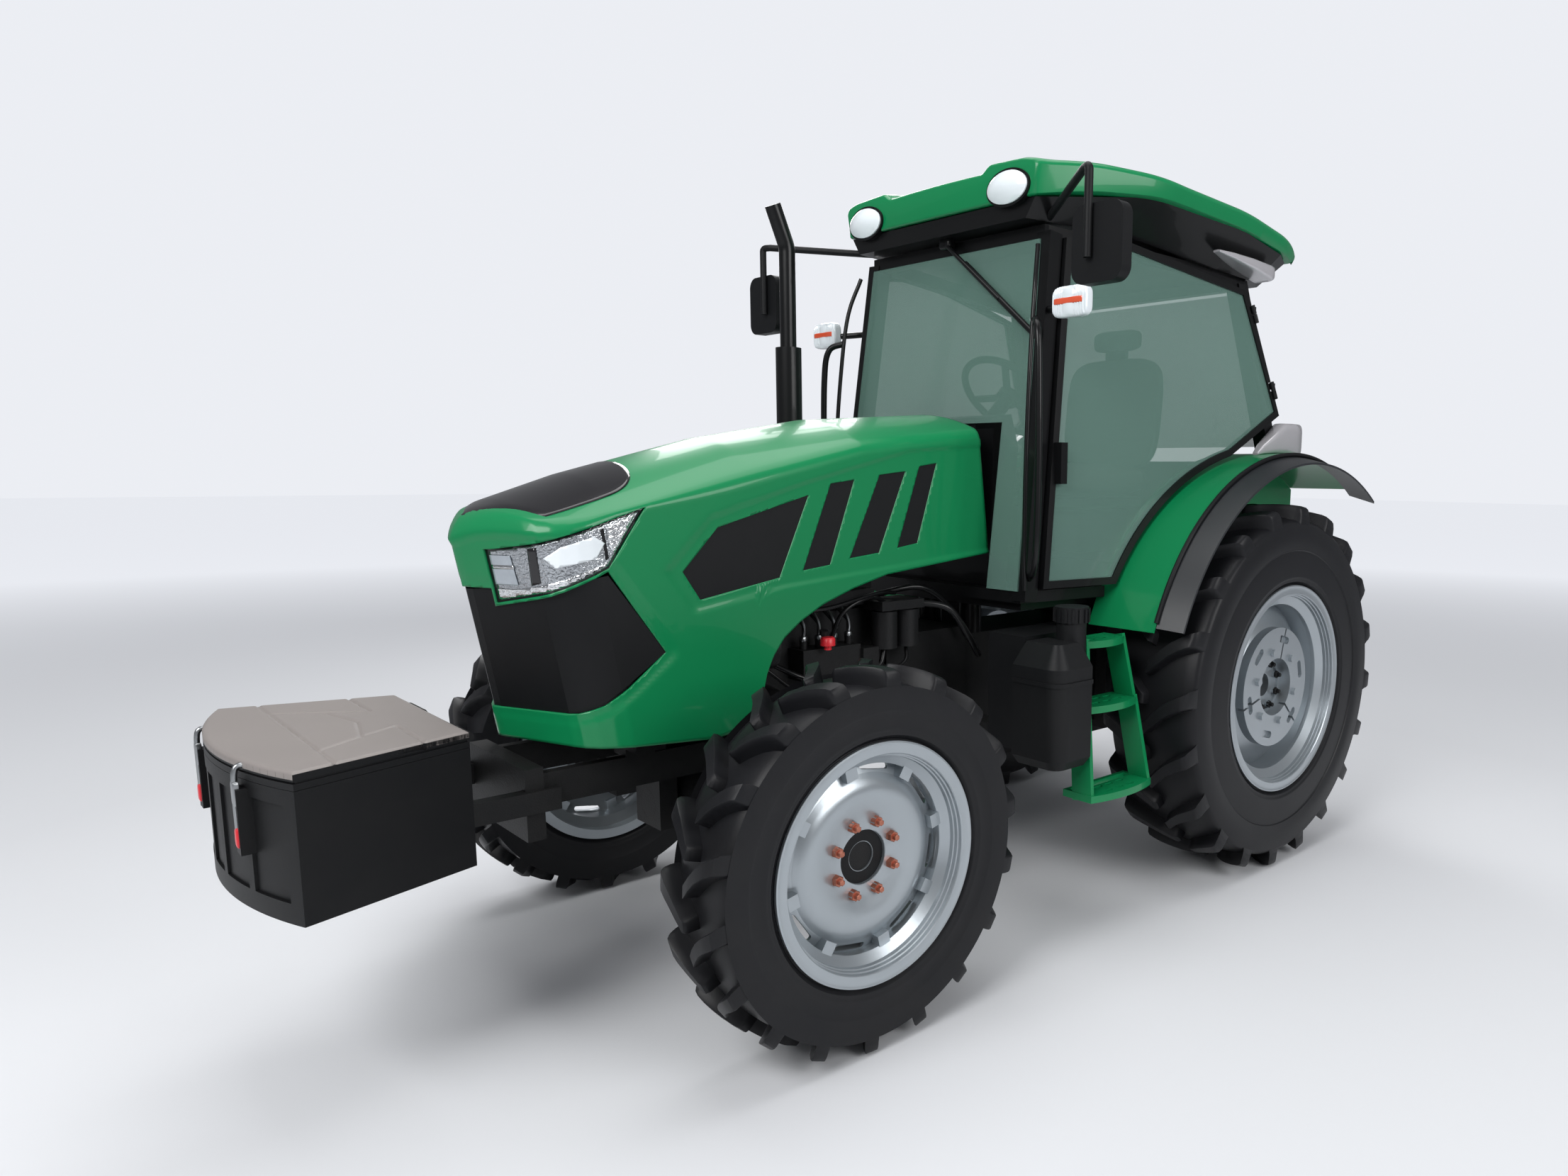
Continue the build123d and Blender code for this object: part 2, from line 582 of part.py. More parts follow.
# ---------------------------------------------------------------- exhaust, tank, battery box, steps
with BuildPart() as exhaust_stack:
    pipe(((-150, 300, 1050), (-430, 420, 1050), (-430, 650, 1120), (-430, 650, 1300)), 32, 60)
    rod((-430, 650, 1260), (-430, 650, 2000), 48)
    pipe(((-430, 650, 1990), (-430, 650, 2360), (-430, 590, 2500)), 30, 80)
save(exhaust_stack.part, "exhaust_stack")

TANK_SHOULDER = 925
TANK_FLOOR = 622


def tank_outline(grow):
    """Plan of the tank's outer lobe, with a rounded outer front corner."""
    with BuildLine() as outline:
        Polyline((600, 968), (600, 800 - grow), (745, 800 - grow))
        ThreePointArc((745, 800 - grow), (784 + grow * 0.7, 816 - grow * 0.7), (800 + grow, 855))
        Polyline((800 + grow, 855), (800 + grow, 968), (600, 968))
    make_face(outline.edges())


def tank_layer(z, height, grow=0, taper=0):
    with BuildSketch(level(z)) as plan:
        tank_outline(grow)
    return extrude(plan.sketch, amount=height, taper=taper)


with BuildPart() as fuel_tank:
    tank_layer(TANK_FLOOR, TANK_SHOULDER - TANK_FLOOR)
    tank_layer(TANK_SHOULDER, 78, taper=22)
    tank_layer(TANK_FLOOR, -30, taper=28)
    tank_layer(868, 14, grow=5)
    block((440, 606), (850, 1130), (620, 1010))
    block((600, 742), (960, 1000), (800, 948))
    rod((700, 975, 930), (700, 975, 1060), 50)
    rod((700, 975, 1060), (700, 975, 1112), 57)
    with BuildSketch(level(1062)) as ribs:
        with Locations((700, 975)):
            with PolarLocations(56, 16):
                Rectangle(12, 8)
    extrude(ribs.sketch, amount=44)
save(fuel_tank.part, "fuel_tank")

with BuildPart() as battery_box:
    block((-780, -440), (800, 968), (640, 985))
    block((-786, -440), (794, 974), (985, 1010))
    block((-606, -440), (960, 1130), (640, 1010))
    for back in (830, 920):
        block((-790, -778), (back, back + 26), (930, 1000))
save(battery_box.part, "battery_box")

# height, front end, rear end, X of the inner and of the outer edge
TREADS = (
    (985, 1050, 1262, 612, 730),
    (775, 1000, 1270, 650, 785),
    (490, 955, 1285, 745, 845),
)
TREAD_THICK = 24
with BuildPart() as step_ladder:
    for z, front, rear, inner, outer in TREADS:
        middle = (front + rear) / 2
        with BuildSketch(level(z - TREAD_THICK)) as tread:
            with BuildLine() as edge:
                Polyline((outer - 26, rear), (inner, rear), (inner, front), (outer - 26, front))
                ThreePointArc((outer - 26, front), (outer, middle), (outer - 26, rear))
            make_face(edge.edges())
            with Locations(((inner + outer) / 2 - 10, middle)):
                with GridLocations(46, 58, 2, 3):
                    SlotOverall(40, 15, rotation=90, mode=Mode.SUBTRACT)
        extrude(tread.sketch, amount=TREAD_THICK)
    bar((705, TREADS[-1][1] + 8, 478), (760, TREADS[-1][1] + 8, 478), 16, 24)
    bar((705, TREADS[-1][2] - 8, 478), (760, TREADS[-1][2] - 8, 478), 16, 24)
    block((697, 713), (TREADS[-1][1], TREADS[-1][2]), (466, 490))
    for end, shift in ((1, 8), (2, -8)):
        stations = [(tread[0], tread[end] + shift, tread[4]) for tread in TREADS]
        for (z_top, back_top, x_top), (z_low, back_low, x_low) in zip(stations, stations[1:]):
            bar((x_top - 66, back_top, z_top), (x_low - 66, back_low, z_low - 22), 80, 16)
    block((606, 616), (1060, 1128), (900, 985))          # bolted to the tank or battery box
save_pair(step_ladder.part, "steps")

# ---------------------------------------------------------------- cab
def cab_side_x(back, z):
    """X of the cab's left outer side plane at a point of the side view."""
    x0, back0, z0 = CAB_SIDE_ORIGIN
    return x0 + CAB_SLOPE * (back - back0) - CAB_LEAN * (z - z0)


CAB_SIDE = Plane(origin=at(*CAB_SIDE_ORIGIN), x_dir=(CAB_SLOPE, 1, 0), z_dir=(1, -CAB_SLOPE, CAB_LEAN))


def side_panel(depth_out, depth_in, outline):
    """A plate on the left cab side between two depths, its outline drawn in side view."""
    with BuildPart() as panel:
        with BuildSketch(side(200)):
            outline()
        extrude(amount=900)
        with BuildSketch(CAB_SIDE.offset(-depth_in)):
            Rectangle(5000, 5000)
        extrude(amount=depth_in - depth_out, mode=Mode.INTERSECT)
    return panel.part


def fender_arc_z(back, radius):
    """Height of a circle about the fender's centre, at a distance behind the front axle."""
    return FENDER_CENTRE["z"] + sqrt(radius ** 2 - (back - FENDER_CENTRE["back"]) ** 2)


DOOR_BOTTOM = 1152
DOOR_SEAL_RADIUS = FENDER_RADIUS + 18
HINGE_LOW = (2238, 1782)
HINGE_HIGH = (2058, 2250)


DOOR_AXIS = [Vector(cab_side_x(*place) + 3, *place) for place in (HINGE_LOW, HINGE_HIGH)]
# start of each hinge up the axis; the door's knuckle comes first, the cab's follows it
DOOR_HINGES = (70, 380)
KNUCKLE = 34
KNUCKLE_GAP = 2


def on_door_axis(hand, distance):
    """Point of a door's hinge axis at a distance above its lower end."""
    low, high = DOOR_AXIS
    point = low + (high - low).normalized() * distance
    return hand * point.X, point.Y, point.Z


def door_knuckle(hand, start, radius, mode=Mode.ADD, spare=0):
    rod(on_door_axis(hand, start - spare), on_door_axis(hand, start + KNUCKLE + spare), radius, mode)


def door_outline(inset):
    """Door in side view: along the front post, the roof line, the hinge line and the fender."""
    arc_radius = DOOR_SEAL_RADIUS + inset
    low = DOOR_BOTTOM + inset
    arc_front = FENDER_CENTRE["back"] - sqrt(arc_radius ** 2 - (low - FENDER_CENTRE["z"]) ** 2)
    arc_middle = 1600
    arc_rear = 1950
    with BuildLine() as outline:
        Polyline((arc_front, low), (1010 + inset, low), (1150 + inset, 2338 - inset), (1400, 2364 - inset),
                 (1810, 2296 - inset), (HINGE_HIGH[0] - inset, HINGE_HIGH[1] - inset * 0.6),
                 (HINGE_LOW[0] - inset, HINGE_LOW[1] + inset * 0.6),
                 (arc_rear, fender_arc_z(arc_rear, arc_radius)))
        ThreePointArc((arc_rear, fender_arc_z(arc_rear, arc_radius)),
                      (arc_middle, fender_arc_z(arc_middle, arc_radius)), (arc_front, low))
    make_face(outline.edges())


door_glass = side_panel(6, 6 + DOOR_GLASS, lambda: door_outline(12))
save_pair(door_glass, "door_glass")

with BuildPart() as door_frame:
    add(side_panel(0, DOOR_THICKNESS, lambda: door_outline(0)))
    add(side_panel(-5, DOOR_THICKNESS + 5, lambda: door_outline(26)), mode=Mode.SUBTRACT)
    handle_x = cab_side_x(1080, 1590)
    block((handle_x - 12, handle_x + 30), (1072, 1105), (1510, 1650))
    add(side_panel(6, 6 + DOOR_GLASS, lambda: door_outline(12)), mode=Mode.SUBTRACT)
    for start in DOOR_HINGES:
        door_knuckle(1, start, 9)
        door_knuckle(1, start, 5.06, Mode.SUBTRACT, spare=1)
        door_knuckle(1, start + KNUCKLE + KNUCKLE_GAP, 15, Mode.SUBTRACT, spare=KNUCKLE_GAP)
save_pair(door_frame.part, "door_frame")


ROOF_LAMP = (375, 2488)         # X and height of the middle of a front roof lamp
LAMP_OVAL = (95, 57)            # half width, half height
POD_OVAL = (124, 88)


def roof_lamp_ovals(oval, front, rear, mode=Mode.ADD, rise=0):
    """A pair of ovals in front view, drawn out rearwards."""
    x, z = ROOF_LAMP
    for hand in BOTH_SIDES:
        with BuildSketch(across(front)) as profile:
            with Locations((hand * x, z + rise)):
                Ellipse(*oval)
        extrude(profile.sketch, amount=front - rear, mode=mode)


FRONT_POST = dict(low=(495, 965, 1108), high=(450, 1112, 2350))
REAR_POST = dict(low=(642, 2262, 1628), high=(580, 2075, 2290))

with BuildPart() as cab_frame:
    for hand in BOTH_SIDES:
        for ends in (FRONT_POST, REAR_POST):
            low, high = ends["low"], ends["high"]
            bar((hand * low[0], *low[1:]), (hand * high[0], *high[1:]), 60, 62)
        bar((hand * 428, 1105, 2352), (hand * 585, 2085, 2292), 50, 50)
        bar((hand * 470, 975, 1123), (hand * 520, 1340, 1123), 60, 40)
        for start in DOOR_HINGES:
            knuckle_start = start + KNUCKLE + KNUCKLE_GAP
            door_knuckle(hand, knuckle_start, 9)
            rod(on_door_axis(hand, start), on_door_axis(hand, knuckle_start + KNUCKLE), 5)
            x, back, z = on_door_axis(hand, knuckle_start + KNUCKLE / 2)
            block((x - hand * 55, x), (back + 6, back + 20), (z - 12, z + 12))
    block((-500, 500), (940, 1000), (1103, 1143))
    bar((-452, 1108, 2352), (452, 1108, 2352), 50, 50)
    bar((-600, 2085, 2290), (600, 2085, 2290), 50, 50)
    # black lining under the roof
    for back, half_low, z_low, half_high, z_high in (
        (1000, 440, 2385, 480, 2446),
        (1420, 520, 2382, 660, 2484),
        (1900, 600, 2318, 715, 2440),
        (2150, 615, 2300, 725, 2390),
        (2260, 560, 2300, 680, 2378),
    ):
        with BuildSketch(across(back)):
            Polygon((-half_low, z_low), (half_low, z_low), (half_high, z_high), (-half_high, z_high), align=None)
    loft(ruled=True)
    roof_lamp_ovals(LAMP_OVAL, 900, 1032, Mode.SUBTRACT)
save(cab_frame.part, "cab_frame")

with BuildPart() as cab_base:
    block((-470, 470), (975, 1500), (FLOOR_Z - 30, FLOOR_Z))
    block((-515, 515), (1480, 2300), (1190, 1215))
    block((-470, 470), (1480, 1500), (1080, 1215))
    block((-300, 300), (1003, 1013), (FLOOR_Z, 1700))
    block((-515, 515), (2280, 2300), (1190, 1600))
    block((-470, -310), (1640, 2040), (1200, 1560))
    for hand in BOTH_SIDES:
        # arm and pin of the hood hinge
        arm_x = hand * (HINGE_KNUCKLE[1] + 13)
        bar((arm_x, 1003, 1635), (arm_x, *HOOD_HINGE), 16, 18)
        rod((arm_x - 8, *HOOD_HINGE), (arm_x + 8, *HOOD_HINGE), 14)
        rod((hand * (HINGE_KNUCKLE[0] - 4), *HOOD_HINGE), (arm_x, *HOOD_HINGE), 8)
        rod((hand * 110, 1080, 950), (hand * 110, 1080, FLOOR_Z - 20), 45)
        rod((hand * 150, 1850, 960), (hand * 150, 1850, 1200), 40)
save(cab_base.part, "cab_base")

with BuildPart() as cab_glass:
    # windshield, running down on both sides of the hood
    with BuildSketch(across(0)):
        Polygon((-440, 2330), (440, 2330), (492, 1145), (345, 1145), (345, 1720), (-345, 1720),
                (-345, 1145), (-492, 1145), align=None)
    extrude(amount=-1300)
    with BuildSketch(side(-600)):
        Polygon((931.1, 1145), (938.1, 1145), (1080.7, 2350), (1073.7, 2350), align=None)
    extrude(amount=1200, mode=Mode.INTERSECT)
save(cab_glass.part, "cab_glass")

with BuildPart() as rear_window:
    with BuildSketch(across(2000)):
        Polygon((-575, 2255), (575, 2255), (615, 1660), (-615, 1660), align=None)
    extrude(amount=-600)
    with BuildSketch(side(-700)):
        Polygon((2285.3, 1660), (2291.3, 1660), (2119, 2270), (2113, 2270), align=None)
    extrude(amount=1400, mode=Mode.INTERSECT)
save(rear_window.part, "rear_window")

# distance behind the front axle, half width, lower edge, upper edge, crown
ROOF_STATIONS = (
    (985, 500, 2448, 2545, 2560),
    (1150, 600, 2478, 2548, 2590),
    (1420, 700, 2484, 2542, 2608),
    (1900, 742, 2440, 2502, 2580),
    (2200, 745, 2392, 2450, 2515),
    (2325, 680, 2382, 2420, 2455),
)
with BuildPart() as roof:
    for back, half, low, edge, crown in ROOF_STATIONS:
        with BuildSketch(across(back)):
            with BuildLine():
                Polyline((-half, edge), (-half + 15, low), (half - 15, low), (half, edge))
                ThreePointArc((half, edge), (0, crown), (-half, edge))
            make_face()
    loft(ruled=True)
    roof_lamp_ovals(POD_OVAL, 992, 1240, rise=17)
    add(cab_frame.part, mode=Mode.SUBTRACT)
    roof_lamp_ovals(LAMP_OVAL, 900, 1032, Mode.SUBTRACT)
save(roof.part, "roof")

FENDER_LAMP = ((2085, 1600), (2380, 1600), (2380, 1752), (2262, 1752), (2120, 1665), (2085, 1634))
ROOF_REAR_LAMP = ((1785, 2356), (2120, 2288), (2128, 2346), (1790, 2364))

with BuildPart() as cab_lamps:
    roof_lamp_ovals((LAMP_OVAL[0] - 0.5, LAMP_OVAL[1] - 0.5), 1005, 1031)
    for hand in BOTH_SIDES:
        block((hand * 579, hand * 725), (975, 1020), (2043, 2143))
        bar((hand * 492, 1072, 2093), (hand * 585, 1012, 2093), 24, 24)
        with BuildSketch(side(hand * 655)):
            Polygon(*FENDER_LAMP, align=None)
        extrude(amount=hand * 80)
        with BuildSketch(side(hand * 622)):
            Polygon(*ROOF_REAR_LAMP, align=None)
        extrude(amount=hand * 100)
    rod((-800, FENDER_CENTRE["back"], FENDER_CENTRE["z"]), (800, FENDER_CENTRE["back"], FENDER_CENTRE["z"]),
        FENDER_RADIUS + 0.3, Mode.SUBTRACT)
    add(cab_frame.part, mode=Mode.SUBTRACT)
save(cab_lamps.part, "cab_lamps")

MIRROR = dict(x=875, z=2221, width=190, height=228, corner=42)
with BuildPart() as mirrors:
    for hand in BOTH_SIDES:
        with BuildSketch(across(838)) as outline:
            with Locations((hand * MIRROR["x"], MIRROR["z"])):
                RectangleRounded(MIRROR["width"], MIRROR["height"], MIRROR["corner"])
        extrude(outline.sketch, amount=-46)
        pipe(((hand * 455, 1100, 2400), (hand * 820, 840, 2440), (hand * 850, 826, 2440),
              (hand * 850, 826, 2180)), 13, 14)
save(mirrors.part, "mirrors")

# ---------------------------------------------------------------- fenders
def fender_reach(front_back, rear_back, low_z, mode):
    """The part of the side view a fender's arch covers, its ends cut off."""
    with BuildLine() as outline:
        Polyline((FENDER_CENTRE["back"], FENDER_CENTRE["z"]), (front_back, low_z), (front_back - 200, low_z),
                 (front_back - 200, 2500), (rear_back, 2500), (rear_back, FENDER_CENTRE["z"]), close=True)
    make_face(outline.edges(), mode=mode)


def fender_shell(radius, skin, x, reach):
    """An arched skin about the fender's centre, between two X values."""
    with BuildSketch(side(x[0])) as profile:
        with Locations((FENDER_CENTRE["back"], FENDER_CENTRE["z"])):
            Circle(radius)
            Circle(radius - skin, mode=Mode.SUBTRACT)
        fender_reach(*reach, Mode.INTERSECT)
    return extrude(profile.sketch, amount=x[1] - x[0])


with BuildPart() as fender:
    fender_shell(FENDER_RADIUS, FENDER_SKIN, FENDER_X, (1290, 2690, 1003))
    with BuildSketch(side(FENDER_X[0])):
        with BuildLine():
            Polyline((FENDER_CENTRE["back"] - 905, 1003), (2690, 1003), (2690, 1480))
            ThreePointArc((2690, 1480), (2200, FENDER_CENTRE["z"] + FENDER_RADIUS - 2), (1295, 1003))
        make_face()
    extrude(amount=10)
save_pair(fender.part, "fender")

with BuildPart() as fender_flap:
    with BuildSketch(across(FENDER_CENTRE["back"])):
        with Locations((0, FENDER_CENTRE["z"])):
            Polygon((785, 952), (785, 960), (898, 934), (898, 926), align=None)
    revolve(axis=Axis(at(0, FENDER_CENTRE["back"], FENDER_CENTRE["z"]), (1, 0, 0)))
    with BuildSketch(side(780)):
        fender_reach(1300, 2720, 1020, Mode.ADD)
    extrude(amount=130, mode=Mode.INTERSECT)
save_pair(fender_flap.part, "fender_flap")

# ---------------------------------------------------------------- inside the cab
with BuildPart() as seat:
    block((-150, 150), (1680, 2020), (1215, 1400))
    block((-205, 205), (1620, 2040), (1400, 1450))
    with BuildSketch(level(1450)):
        with Locations((0, 1822)):
            RectangleRounded(500, 450, 70)
    extrude(amount=138, taper=8)
    with BuildSketch(side(-260)):
        Polygon((1990, 1560), (2090, 1560), (2112, 2045), (2040, 2045), align=None)
    extrude(amount=520)
    with BuildSketch(across(1600)):
        Polygon((-700, 1000), (700, 1000), (700, 1560), (245, 1560), (258, 1800), (185, 2045), (-185, 2045),
                (-258, 1800), (-245, 1560), (-700, 1560), align=None)
    extrude(amount=-700, mode=Mode.INTERSECT)
    block((-60, 60), (2062, 2092), (2030, 2085))
    block((-125, 125), (2050, 2106), (2070, 2160))
save(seat.part, "seat")

with BuildPart() as dashboard:
    with BuildSketch(side(-200)):
        Polygon((1013, FLOOR_Z), (1180, FLOOR_Z), (1240, 1640), (1200, 1760), (1013, 1740), align=None)
    extrude(amount=400)
    rod((0, 1200, 1653), (0, 1377, 1826), 30)
save(dashboard.part, "dashboard")

STEERING_WHEEL_CENTRE = (0, 1390, 1840)
COLUMN_DIRECTION = Vector(0, 152, 160)
with BuildPart() as steering_wheel:
    wheel_plane = Plane(origin=at(*STEERING_WHEEL_CENTRE), z_dir=COLUMN_DIRECTION)
    with Locations(wheel_plane):
        Torus(195, 14)
        Cylinder(45, 34)
        for angle in (90, 210, 330):
            with Locations(Location((0, 0, 0), (0, 0, angle))):
                with Locations((105, 0, 0)):
                    Box(190, 26, 12)
save(steering_wheel.part, "steering_wheel")

# ---------------------------------------------------------------- three-point hitch
def swung(pivot, length, droop):
    """End of a lever behind its pivot, drooping by some degrees."""
    return pivot["back"] + length * cos(radians(droop)), pivot["z"] - length * sin(radians(droop))


LINK_PIN = swung(LOWER_PIN, LINK_REACH, LINK_DROOP)
LINK_END = swung(LOWER_PIN, LOWER_LINK, LINK_DROOP)
ARM_END = swung(ROCKSHAFT, LIFT_ARM, LIFT_ARM_DROOP)
LIFT_ROD_X = 352


def eye(x, place, width, radius):
    """A boss about a pin along X."""
    rod((x - width / 2, *place), (x + width / 2, *place), radius)


def eye_bore(x, place, width, radius):
    rod((x - width / 2 - 5, *place), (x + width / 2 + 5, *place), radius, Mode.SUBTRACT)


with BuildPart() as lower_links:
    for hand in BOTH_SIDES:
        front_eye = (LOWER_PIN["back"], LOWER_PIN["z"])
        bar((hand * 300, *front_eye), (hand * 318, *LINK_PIN), 22, 70)
        bar((hand * 318, *LINK_PIN), (hand * 345, *LINK_END), 22, 60)
        eye(hand * 300, front_eye, 30, 38)
        eye(hand * 345, LINK_END, 45, 40)
        rod((hand * 318, *LINK_PIN), (hand * 372, *LINK_PIN), 12)
        eye_bore(hand * 300, front_eye, 30, 14.06)
        eye_bore(hand * 345, LINK_END, 45, 14.35)
save(lower_links.part, "lower_links")

with BuildPart() as lift_arms:
    rod((-290, ROCKSHAFT["back"], ROCKSHAFT["z"]), (290, ROCKSHAFT["back"], ROCKSHAFT["z"]), 32)
    for hand in BOTH_SIDES:
        bar((hand * 300, ROCKSHAFT["back"], ROCKSHAFT["z"]), (hand * 312, *ARM_END), 26, 64)
        eye(hand * 300, (ROCKSHAFT["back"], ROCKSHAFT["z"]), 50, 52)
        rod((hand * 310, *ARM_END), (hand * 374, *ARM_END), 10)
save(lift_arms.part, "lift_arms")

with BuildPart() as lift_rods:
    for hand in BOTH_SIDES:
        rod((hand * LIFT_ROD_X, *LINK_PIN), (hand * LIFT_ROD_X, *ARM_END), 14)
        for place, bore in ((LINK_PIN, 12.06), (ARM_END, LIFT_EYE_BORE)):
            eye(hand * LIFT_ROD_X, place, 26, bore + 9)
            eye_bore(hand * LIFT_ROD_X, place, 26, bore)
save(lift_rods.part, "lift_rods")

TOP_PIN = (2286, 900)
TOP_LINK_END = (2800, 835)
with BuildPart() as top_link:
    rod((0, *TOP_PIN), (0, *TOP_LINK_END), 20)
    eye(0, TOP_PIN, 44, 26)
    eye(0, TOP_LINK_END, 51, 28)
    eye_bore(0, TOP_PIN, 44, 12.06)
    eye_bore(0, TOP_LINK_END, 51, 12.8)
save(top_link.part, "top_link")
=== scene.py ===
"""Farm tractor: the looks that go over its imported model, laid out as a Blender add-on."""
import json
import math

import bmesh
import bpy
import numpy as np
from mathutils import Matrix, Vector


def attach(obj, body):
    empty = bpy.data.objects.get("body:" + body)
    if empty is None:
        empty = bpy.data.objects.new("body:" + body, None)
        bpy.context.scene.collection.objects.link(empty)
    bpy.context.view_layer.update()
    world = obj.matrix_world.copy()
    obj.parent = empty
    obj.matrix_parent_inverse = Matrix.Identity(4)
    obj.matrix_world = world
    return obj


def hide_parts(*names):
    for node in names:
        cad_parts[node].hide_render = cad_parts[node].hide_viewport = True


bl_info = {
    "name": "Farm Tractor",
    "version": (1, 0, 0),
    "blender": (4, 5, 0),
    "location": "3D View > Sidebar > Tractor",
    "description": "Dresses a farm tractor with tyres, wheels, hood, glass and small parts",
    "category": "Object",
}

# Lengths are in metres. "Back" is a distance behind the front axle, and "across" is one outboard of a
# wheel's middle.
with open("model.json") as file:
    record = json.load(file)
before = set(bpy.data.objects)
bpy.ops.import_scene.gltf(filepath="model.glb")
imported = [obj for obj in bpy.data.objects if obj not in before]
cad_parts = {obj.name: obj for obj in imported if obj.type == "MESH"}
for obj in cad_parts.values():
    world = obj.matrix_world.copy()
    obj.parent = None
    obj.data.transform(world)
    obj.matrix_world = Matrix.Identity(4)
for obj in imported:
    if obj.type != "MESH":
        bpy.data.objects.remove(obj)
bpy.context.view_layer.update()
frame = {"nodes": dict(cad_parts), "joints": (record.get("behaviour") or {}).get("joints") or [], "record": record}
NODES = frame["nodes"]
AXLE_Y = {joint["name"]: joint["pos_m"] for joint in frame["joints"]}["front_left_roll"][1]
SIDES = (("left", 1), ("right", -1))
MERGE_REACH = 4e-5


# ------------------------------------------------------------------ mesh making
def behind(points):
    """Points (x, back, height) in the frame of the part."""
    return np.asarray(points, float) + (0, AXLE_Y, 0)


def circle(steps):
    """The angles of a full turn in equal steps."""
    return np.linspace(0, 2 * math.pi, steps, endpoint=False)


def signed_power(value, exponent):
    """A power of the size of a value, with the value's sign."""
    return np.sign(value) * np.abs(value) ** exponent


def smooth_step(value):
    """Climbs from 0 to 1 with level ends."""
    value = np.clip(value, 0, 1)
    return value * value * (3 - 2 * value)


def line_gap(points, start, along):
    """Distance of points to the stretch that runs from start by the vector along."""
    share = np.clip((points - start) @ along / (along @ along), 0, 1)
    return np.linalg.norm(points - start - share[:, None] * along, axis=1)


def mesh_piece(name, verts, faces, material, body, sharp=40, closed=True):
    """A mesh object from arrays, with its finish, riding on a body.

    Points that coincide are merged, and the faces of a closed form are turned outwards."""
    mesh = bpy.data.meshes.new(name)
    mesh.from_pydata(np.asarray(verts, float).tolist(), [], [list(face) for face in faces])
    work = bmesh.new()
    work.from_mesh(mesh)
    bmesh.ops.remove_doubles(work, verts=work.verts, dist=MERGE_REACH)
    if closed:
        bmesh.ops.recalc_face_normals(work, faces=work.faces)
    work.to_mesh(mesh)
    work.free()
    mesh.materials.append(material)
    mesh.validate()
    mesh.shade_smooth()
    mesh.set_sharp_from_angle(angle=math.radians(sharp))
    piece = bpy.data.objects.new(name, mesh)
    bpy.context.scene.collection.objects.link(piece)
    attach(piece, body)
    return piece


def grid_faces(rows, columns, wrap_rows=False, wrap_columns=False, flip=False):
    """Quads of a grid of rows x columns points; a wrapped side joins its last line to its first."""
    i, j = np.meshgrid(np.arange(rows if wrap_rows else rows - 1),
                       np.arange(columns if wrap_columns else columns - 1), indexing="ij")
    i2, j2 = (i + 1) % rows, (j + 1) % columns
    quads = np.stack([i * columns + j, i2 * columns + j, i2 * columns + j2, i * columns + j2], axis=-1)
    quads = quads.reshape(-1, 4)
    return quads[:, ::-1] if flip else quads


def capped(rings, flip=False):
    """Rings of equal count joined one to the next, with flat ends."""
    rings = np.asarray(rings, float)
    count, columns = rings.shape[:2]
    ends = [tuple(range(columns)), tuple(range((count - 1) * columns, count * columns))]
    return rings, list(grid_faces(count, columns, wrap_columns=True, flip=flip)) + ends


def loft(rings):
    """A capped form from rings of (x, back, height)."""
    return capped(behind(rings), flip=True)


def mirrored(verts, faces):
    """The other side's copy of a surface."""
    return np.asarray(verts).reshape(-1, 3) * (-1, 1, 1), [tuple(face)[::-1] for face in faces]


class Soup:
    """Several surfaces gathered into one mesh."""

    def __init__(self):
        self.verts, self.faces, self.count = [], [], 0

    def add(self, verts, faces):
        verts = np.asarray(verts, float).reshape(-1, 3)
        self.verts.append(verts)
        self.faces += [tuple(int(v) + self.count for v in face) for face in faces]
        self.count += len(verts)
        return self

    def piece(self, name, finish_name, body, **options):
        return mesh_piece(name, np.concatenate(self.verts), self.faces, FINISH[finish_name], body, **options)


def both_sides(name, surfaces, finish_name, body, **options):
    """One piece of each surface and its mirror image, on one body."""
    soup = Soup()
    for surface in surfaces:
        soup.add(*surface).add(*mirrored(*surface))
    return soup.piece(name, finish_name, body, **options)


def thicken(sheet, wall):
    """Gives an open sheet a wall behind its face."""
    thick = sheet.modifiers.new("thickness", "SOLIDIFY")
    thick.thickness = wall
    thick.offset = -1


def rounded_box(centre, half, power=0.35, rows=24, columns=48, flutes=0.0):
    """A box with soft edges: centre + half sizes times signed powers of the sphere's cosines and sines.

    flutes is the depth of the upright grooves, as a share of its depth."""
    up = np.linspace(-math.pi / 2, math.pi / 2, rows)[:, None]
    turn = circle(columns)
    x = signed_power(np.cos(up), power) * signed_power(np.cos(turn), power)
    y = signed_power(np.cos(up), power) * signed_power(np.sin(turn), power) * (1 + flutes * np.cos(46 * x))
    z = signed_power(np.sin(up), power) * np.ones_like(turn)
    faces = grid_faces(rows, columns, wrap_columns=True, flip=True)
    return behind(np.stack((x, y, z), axis=-1) * half + centre), faces


def tube(path, radius, sides=12, steps=10):
    """A round tube along a smooth curve: each span a Catmull-Rom cubic, each section a square circle."""
    path = np.asarray(path, float)
    ghost = np.concatenate((2 * path[:1] - path[1:2], path, 2 * path[-1:] - path[-2:-1]))
    line = [(2 * b + (c - a) * t + (2 * a - 5 * b + 4 * c - d) * t * t + (3 * b - a - 3 * c + d) * t ** 3) / 2
            for a, b, c, d in zip(ghost, ghost[1:], ghost[2:], ghost[3:])
            for t in np.linspace(0, 1, steps, endpoint=False)]
    line = np.array(line + [path[-1]])
    along = np.gradient(line, axis=0)
    along /= np.linalg.norm(along, axis=1)[:, None]
    across = np.cross(along, (0.31, 0.27, 0.91))
    across /= np.linalg.norm(across, axis=1)[:, None]
    third = np.cross(along, across)
    turn = circle(sides)[:, None]
    return loft(line[:, None] + radius * (across[:, None] * np.cos(turn) + third[:, None] * np.sin(turn)))


